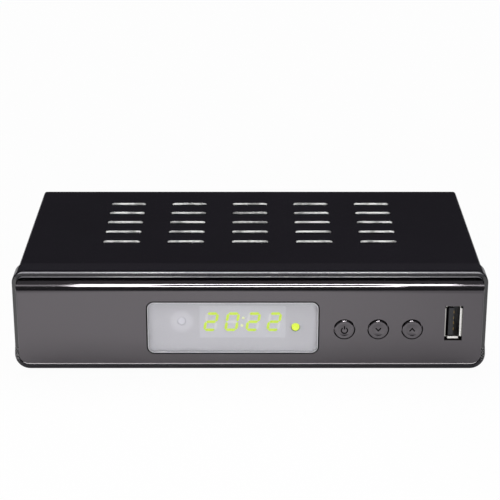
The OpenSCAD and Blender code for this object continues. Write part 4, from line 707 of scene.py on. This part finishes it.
def openRound(sheet, look, centre, radius):
    half = radius * look["roundCell"]
    for at in (centre.x - half, centre.x + half):
        bmesh.ops.bisect_plane(sheet, geom=allOf(sheet), plane_co=(at, 0, 0), plane_no=(1, 0, 0))
    for at in (centre.z - half, centre.z + half):
        column = [f for f in sheet.faces if abs(f.calc_center_median().x - centre.x) < half / 2]
        parts = column + [e for f in column for e in f.edges] + [v for f in column for v in f.verts]
        parts = list(dict.fromkeys(parts))
        bmesh.ops.bisect_plane(sheet, geom=parts, plane_co=(0, 0, at), plane_no=(0, 0, 1))
    cell = min(sheet.faces, key=lambda f: (f.calc_center_median() - centre).length)
    square = cell.edges[:]
    bmesh.ops.delete(sheet, geom=[cell], context="FACES_ONLY")
    split = bmesh.ops.subdivide_edges(sheet, edges=square, cuts=look["roundSteps"] // 4 - 1)
    outer = [e for e in split["geom_inner"] + split["geom_split"]
             if isinstance(e, bmesh.types.BMEdge) and e.is_boundary]
    inner = bmesh.ops.extrude_edge_only(sheet, edges=list(dict.fromkeys(outer)))
    for vert in [v for v in inner["geom"] if isinstance(v, bmesh.types.BMVert)]:
        off = (vert.co - centre) / half
        way = Vector([math.tan(math.pi / 4 * part) for part in off])  # even steps round the opening
        vert.co = centre + way.normalized() * radius


def makeWindowPrint(look):
    low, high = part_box("display_window")
    moduleLow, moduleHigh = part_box("display_module")
    eyeLow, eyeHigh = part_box("ir_receiver")
    lampLow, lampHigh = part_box("status_led")
    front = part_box("lit_segments")[0].y + look["behindDigits"] * mm
    middle = (low + high) / 2
    spare = (look["lensInLip"] - look["border"]) * mm
    size = high - low
    sheet = bmesh.new()
    place = Matrix.Translation((middle.x, front, middle.z)) @ Matrix.Rotation(math.radians(90), 4, "X")
    stretch = Matrix.Diagonal((size.x - 2 * spare, size.z - 2 * spare, 1, 1))
    bmesh.ops.create_grid(sheet, x_segments=1, y_segments=1, size=0.5, matrix=place @ stretch)
    bmesh.ops.bevel(sheet, geom=sheet.verts[:], offset=look["corner"] * mm, offset_type="OFFSET",
                    affect="VERTICES", segments=look["cornerSteps"], profile=0.5, material=-1)
    edge = bmesh.ops.inset_region(sheet, faces=sheet.faces[:], thickness=look["border"] * mm)
    for face in edge["faces"]:
        face.material_index = 1
    lap = look["overModule"] * mm
    for at in (moduleLow.x + lap, moduleHigh.x - lap):
        bmesh.ops.bisect_plane(sheet, geom=allOf(sheet), plane_co=(at, 0, 0), plane_no=(1, 0, 0))
    for at in (moduleLow.z + lap, moduleHigh.z - lap):
        bmesh.ops.bisect_plane(sheet, geom=allOf(sheet), plane_co=(0, 0, at), plane_no=(0, 0, 1))
    digits = (moduleLow + moduleHigh) / 2
    eye = (eyeLow + eyeHigh) / 2
    lamp = (lampLow + lampHigh) / 2
    digits.y = eye.y = lamp.y = front
    hole = min(sheet.faces, key=lambda f: (f.calc_center_median() - digits).length)
    bmesh.ops.delete(sheet, geom=[hole], context="FACES_ONLY")
    openRound(sheet, look, eye, look["eyeRadius"] * mm)
    openRound(sheet, look, lamp, (lampHigh.z - lampLow.z) / 2 + look["lampGap"] * mm)
    bmesh.ops.recalc_face_normals(sheet, faces=sheet.faces)
    bmesh.ops.solidify(sheet, geom=sheet.faces[:], thickness=look["thickness"] * mm)
    finishMesh("windowPrint", sheet, [silverInk("silverInk", silverInkLook, eye), maskInkAndPaintedShade],
               "receiver")
    print("window print at", round(front / mm, 3), "mm")


makeWindowPrint(windowPrint)

# Signs printed in the dished caps: a power ring with its bar, and two chevrons
legend = {
    "thickness": 0.05, "sunk": 0.02, "stroke": 0.5, "endRound": 2.2, "endSteps": 4, "cutEvery": 0.35,
    "cuts": 6,
}
capDish = {"radius": 2.5, "depth": 0.32}
powerSign = {"radius": 1.17, "drop": 0.28, "gap": 70, "steps": 28, "barTop": 1.6, "barFoot": 0.6}
chevronSign = {"width": 1.7, "height": 1.0}


def addBar(shape, look, start, end):
    along = Vector((end[0] - start[0], 0, end[1] - start[1])) * mm
    turn = Matrix.Rotation(math.atan2(-along.z, along.x), 4, "Y")
    middle = Vector(((start[0] + end[0]) / 2 * mm, 0, (start[1] + end[1]) / 2 * mm))
    size = (along.length + look["stroke"] * mm, look["thickness"] * mm, look["stroke"] * mm)
    made = bmesh.ops.create_cube(
        shape, size=1, matrix=Matrix.Translation(middle) @ turn @ Matrix.Diagonal((*size, 1)))
    upright = [e for v in made["verts"] for e in v.link_edges
               if abs((e.verts[0].co - e.verts[1].co).y) > look["thickness"] * mm / 2]
    bmesh.ops.bevel(
        shape, geom=list(dict.fromkeys(upright)), offset=look["stroke"] / look["endRound"] * mm,
        offset_type="OFFSET", affect="EDGES", segments=look["endSteps"], profile=0.5, material=-1)


def addRing(shape, look, sign, centre):
    half = look["stroke"] / 2
    deep = look["thickness"] / 2
    start = math.radians(90 + sign["gap"] / 2)
    profile = []
    for across, depth in [(-half, -deep), (half, -deep), (half, deep), (-half, deep)]:
        reach = (sign["radius"] + across) * mm
        profile.append(shape.verts.new((centre[0] * mm + reach * math.cos(start), depth * mm,
                                        centre[1] * mm + reach * math.sin(start))))
    section = shape.faces.new(profile)
    bmesh.ops.spin(shape, geom=[section], cent=(centre[0] * mm, 0, centre[1] * mm), axis=(0, -1, 0),
                   angle=math.radians(360 - sign["gap"]), steps=sign["steps"])


def makeLegend(name, key, body, draw):
    low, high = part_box(key + "_plunger")
    centre = ((low.x + high.x) / 2 / mm, (low.z + high.z) / 2 / mm)
    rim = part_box(key + "_button")[0].y
    shape = bmesh.new()
    draw(shape, centre)
    for step in range(-legend["cuts"], legend["cuts"] + 1):
        off = step * legend["cutEvery"]
        for point, normal in [((centre[0] + off, 0, 0), (1, 0, 0)), ((0, 0, centre[1] + off), (0, 0, 1))]:
            bmesh.ops.bisect_plane(
                shape, geom=allOf(shape), dist=mergeGap, plane_co=Vector(point) * mm, plane_no=normal)
    ball = (capDish["radius"] ** 2 / capDish["depth"] + capDish["depth"]) / 2
    lift = legend["thickness"] / 2 - legend["sunk"]
    for vert in shape.verts:
        away = math.hypot(vert.co.x / mm - centre[0], vert.co.z / mm - centre[1])
        hollow = capDish["depth"] - ball + math.sqrt(ball ** 2 - away ** 2)
        vert.co.y += rim + (max(hollow, 0) - lift) * mm
    bmesh.ops.recalc_face_normals(shape, faces=shape.faces)
    finishMesh(name, shape, [legendInk], body)


def drawPower(shape, centre):
    middle = (centre[0], centre[1] - powerSign["drop"])
    addRing(shape, legend, powerSign, middle)
    addBar(shape, legend, (middle[0], middle[1] + powerSign["barFoot"]),
           (middle[0], middle[1] + powerSign["barTop"]))


def drawChevron(up):
    def draw(shape, centre):
        lift = chevronSign["height"] / 2 * (1 if up else -1)
        tip = (centre[0], centre[1] + lift)
        for side in (-1, 1):
            addBar(shape, legend, tip, (centre[0] + side * chevronSign["width"] / 2, centre[1] - lift))
    return draw


legendInk = mouldedPlastic("mattLegendInk", legendInkLook)
makeLegend("powerLegend", "power", "power_key", drawPower)
makeLegend("downLegend", "channel_down", "channel_down_key", drawChevron(False))
makeLegend("upLegend", "channel_up", "channel_up_key", drawChevron(True))
print("legends made")

# White floor: white to the eye apart from a trace of the shadow; gloss and the lens show mostly its paint,
# which is a painted pool of light, palest in front of the receiver and greyer away from it
floorLook = {
    "size": 14, "colour": "#f7f7f7", "outer": "#b4b4b6", "lit": (-0.03, -0.13, 0), "paintedLightFrom": 0.05,
    "paintedLightTo": 0.2, "whiteSeen": 0.97, "whiteInGloss": 0.1,
}


def makeFloor(look):
    shape = bmesh.new()
    bmesh.ops.create_grid(shape, x_segments=1, y_segments=1, size=look["size"] / 2)
    mesh = bpy.data.meshes.new("floor")
    shape.to_mesh(mesh)
    shape.free()
    material = bpy.data.materials.new("whiteFloor")
    material.use_nodes = True
    tree = material.node_tree
    tree.nodes.remove(tree.nodes["Principled BSDF"])
    rays = addNode(tree, "LightPath")
    mirrored = addNode(tree, "Math", {"operation": "MAXIMUM"},
                       {0: rays.outputs["Is Glossy Ray"], 1: rays.outputs["Is Transmission Ray"]})
    inGloss = addNode(tree, "Math", {"operation": "MULTIPLY", 1: look["whiteInGloss"]},
                      {0: mirrored.outputs[0]})
    seen = addNode(tree, "Math", {"operation": "MULTIPLY", 1: look["whiteSeen"]},
                   {0: rays.outputs["Is Camera Ray"]})
    share = addNode(tree, "Math", {"operation": "MAXIMUM"}, {0: seen.outputs[0], 1: inGloss.outputs[0]})
    place = addNode(tree, "TexCoord")
    # painted pool of light: the paint fades from white in front of the receiver to grey further out
    away = addNode(tree, "VectorMath", {"operation": "DISTANCE", 1: look["lit"]},
                   {0: place.outputs["Object"]})
    paintedLightFalloff = addNode(tree, "MapRange", {
        "interpolation_type": "SMOOTHSTEP", "From Min": look["paintedLightFrom"], "From Max": look["paintedLightTo"]},
        {"Value": away.outputs["Value"]})
    tint = addNode(tree, "Mix", {"data_type": "RGBA", 6: linear(look["colour"]), 7: linear(look["outer"])},
                   {0: paintedLightFalloff.outputs["Result"]})
    paint = addNode(tree, "BsdfDiffuse", {}, {"Color": tint.outputs[2]})
    white = addNode(tree, "Emission", {"Strength": 1})
    both = addNode(tree, "MixShader", {}, {
        0: share.outputs[0], 1: paint.outputs["BSDF"], 2: white.outputs["Emission"]})
    plug(tree, [(both.outputs["Shader"], tree.nodes["Material Output"].inputs["Surface"])])
    mesh.materials.append(material)
    floor = bpy.data.objects.new("floor", mesh)
    bpy.context.scene.collection.objects.link(floor)


# Strip softboxes that only the gloss shows: two lines on the rolled edge, joins that merge them towards its
# ends, a strip for the glints on the caps and a dim card past each end
strips = [
    {"name": "lowStrip", "elevation": 39.7, "left": -0.22, "right": 0.19, "height": 0.05, "power": 2.1},
    {"name": "highStrip", "elevation": 55.5, "left": -0.22, "right": 0.26, "height": 0.05, "power": 2.5},
    {"name": "leftJoin", "elevation": 47.6, "left": -0.22, "right": -0.12, "height": 0.3, "power": 1.0},
    {"name": "rightJoin", "elevation": 49, "left": 0.17, "right": 0.25, "height": 0.27, "power": 0.7},
    {"name": "capStrip", "elevation": 64, "left": -0.25, "right": 0.35, "height": 0.3, "power": 26,
     "onto": ["power_button", "channel_down_button", "channel_up_button"]},
    {"name": "leftCard", "elevation": 47, "left": -0.38, "right": -0.22, "height": 0.3, "power": 0.13},
    {"name": "rightCard", "elevation": 47, "left": 0.26, "right": 0.38, "height": 0.3, "power": 0.2},
]
stripDistance = 1.5
# Soft fills that light the surfaces themselves; two of them reach only the cover and the socket's shell
fills = [
    {"name": "topFill", "place": (0, 0.8, 2.1), "size": (2.4, 1.8), "power": 45},
    {"name": "frontFill", "place": (0, -2.0, 0.4), "size": (2.0, 0.7), "power": 19},
    {"name": "backFill", "place": (0.5, 2.0, 1.2), "size": (2.0, 1.2), "power": 10},
    {"name": "slotFill", "place": (0, -1.9, 0.7), "size": (1.6, 0.5), "power": 26, "onto": ["coverSkin"]},
    {"name": "lipFill", "place": (-1.0, -1.8, 0.7), "size": (0.5, 0.5), "power": 60, "onto": ["shellSkin"]},
]
# Dim room around the studio: darker in front than behind, and lighter overhead
worldLook = {
    "colour": "#f2f1f6", "frontLow": 0.05, "frontHigh": 0.17, "backLow": 0.03, "backHigh": 0.4,
    "riseFrom": 0.45, "riseTo": 0.85, "backFrom": 0.05, "backTo": 0.4,
}


def addLamp(name, place, size, power, glossOnly):
    data = bpy.data.lights.new(name, "AREA")
    data.shape = "RECTANGLE"
    data.size, data.size_y = size
    data.energy = power
    lamp = bpy.data.objects.new(name, data)
    lamp.location = place
    lamp.rotation_euler = Vector(place).to_track_quat("Z", "Y").to_euler()
    lamp.visible_glossy = glossOnly
    lamp.visible_diffuse = not glossOnly
    bpy.context.scene.collection.objects.link(lamp)
    return lamp


def shadeFrom(lamp, onto):
    if onto is None:
        return
    lit = bpy.data.collections.new(lamp.name + "Onto")
    for name in onto:
        lit.objects.link(nodes.get(name) or bpy.data.objects[name])
    lamp.light_linking.receiver_collection = lit  # kept off everything else, as barn doors do


def makeStudio():
    for strip in strips:
        rise = math.radians(strip["elevation"])
        place = ((strip["left"] + strip["right"]) / 2, -stripDistance * math.cos(rise),
                 stripDistance * math.sin(rise))
        lamp = addLamp(
            strip["name"], place, (strip["right"] - strip["left"], strip["height"]), strip["power"], True)
        shadeFrom(lamp, strip.get("onto"))
    for fill in fills:
        lamp = addLamp(fill["name"], fill["place"], fill["size"], fill["power"], False)
        shadeFrom(lamp, fill.get("onto"))
    world = bpy.data.worlds.new("dimStudio")
    bpy.context.scene.world = world
    world.use_nodes = True
    tree = world.node_tree
    sky = tree.nodes["Background"]
    sky.inputs["Color"].default_value = linear(worldLook["colour"])
    around = addNode(tree, "TexCoord")
    towards = addNode(tree, "SeparateXYZ", {}, {"Vector": around.outputs["Generated"]})
    rise = {"From Min": worldLook["riseFrom"], "From Max": worldLook["riseTo"]}
    height = {"Value": towards.outputs["Z"]}
    front = addNode(tree, "MapRange", {
        **rise, "To Min": worldLook["frontLow"], "To Max": worldLook["frontHigh"]}, height)
    back = addNode(tree, "MapRange", {
        **rise, "To Min": worldLook["backLow"], "To Max": worldLook["backHigh"]}, height)
    share = addNode(tree, "MapRange", {
        "From Min": worldLook["backFrom"], "From Max": worldLook["backTo"]}, {"Value": towards.outputs["Y"]})
    level = addNode(tree, "Mix", {}, {
        0: share.outputs["Result"], 2: front.outputs["Result"], 3: back.outputs["Result"]})
    plug(tree, [(level.outputs[0], sky.inputs["Strength"])])


# The photograph's view: from in front and a little above, with a long lens
viewFrom = {"place": (0, -0.62135, 0.27295), "tilt": 68.69, "lens": 118.15, "sensor": 36}


def makeCamera(look):
    data = bpy.data.cameras.new("camera")
    data.lens = look["lens"]
    data.sensor_width = look["sensor"]
    camera = bpy.data.objects.new("camera", data)
    camera.location = look["place"]
    camera.rotation_euler = (math.radians(look["tilt"]), 0, 0)
    bpy.context.scene.collection.objects.link(camera)
    bpy.context.scene.camera = camera


makeFloor(floorLook)
makeStudio()
makeCamera(viewFrom)
bpy.context.scene.view_settings.view_transform = "Standard"
print("studio ready")
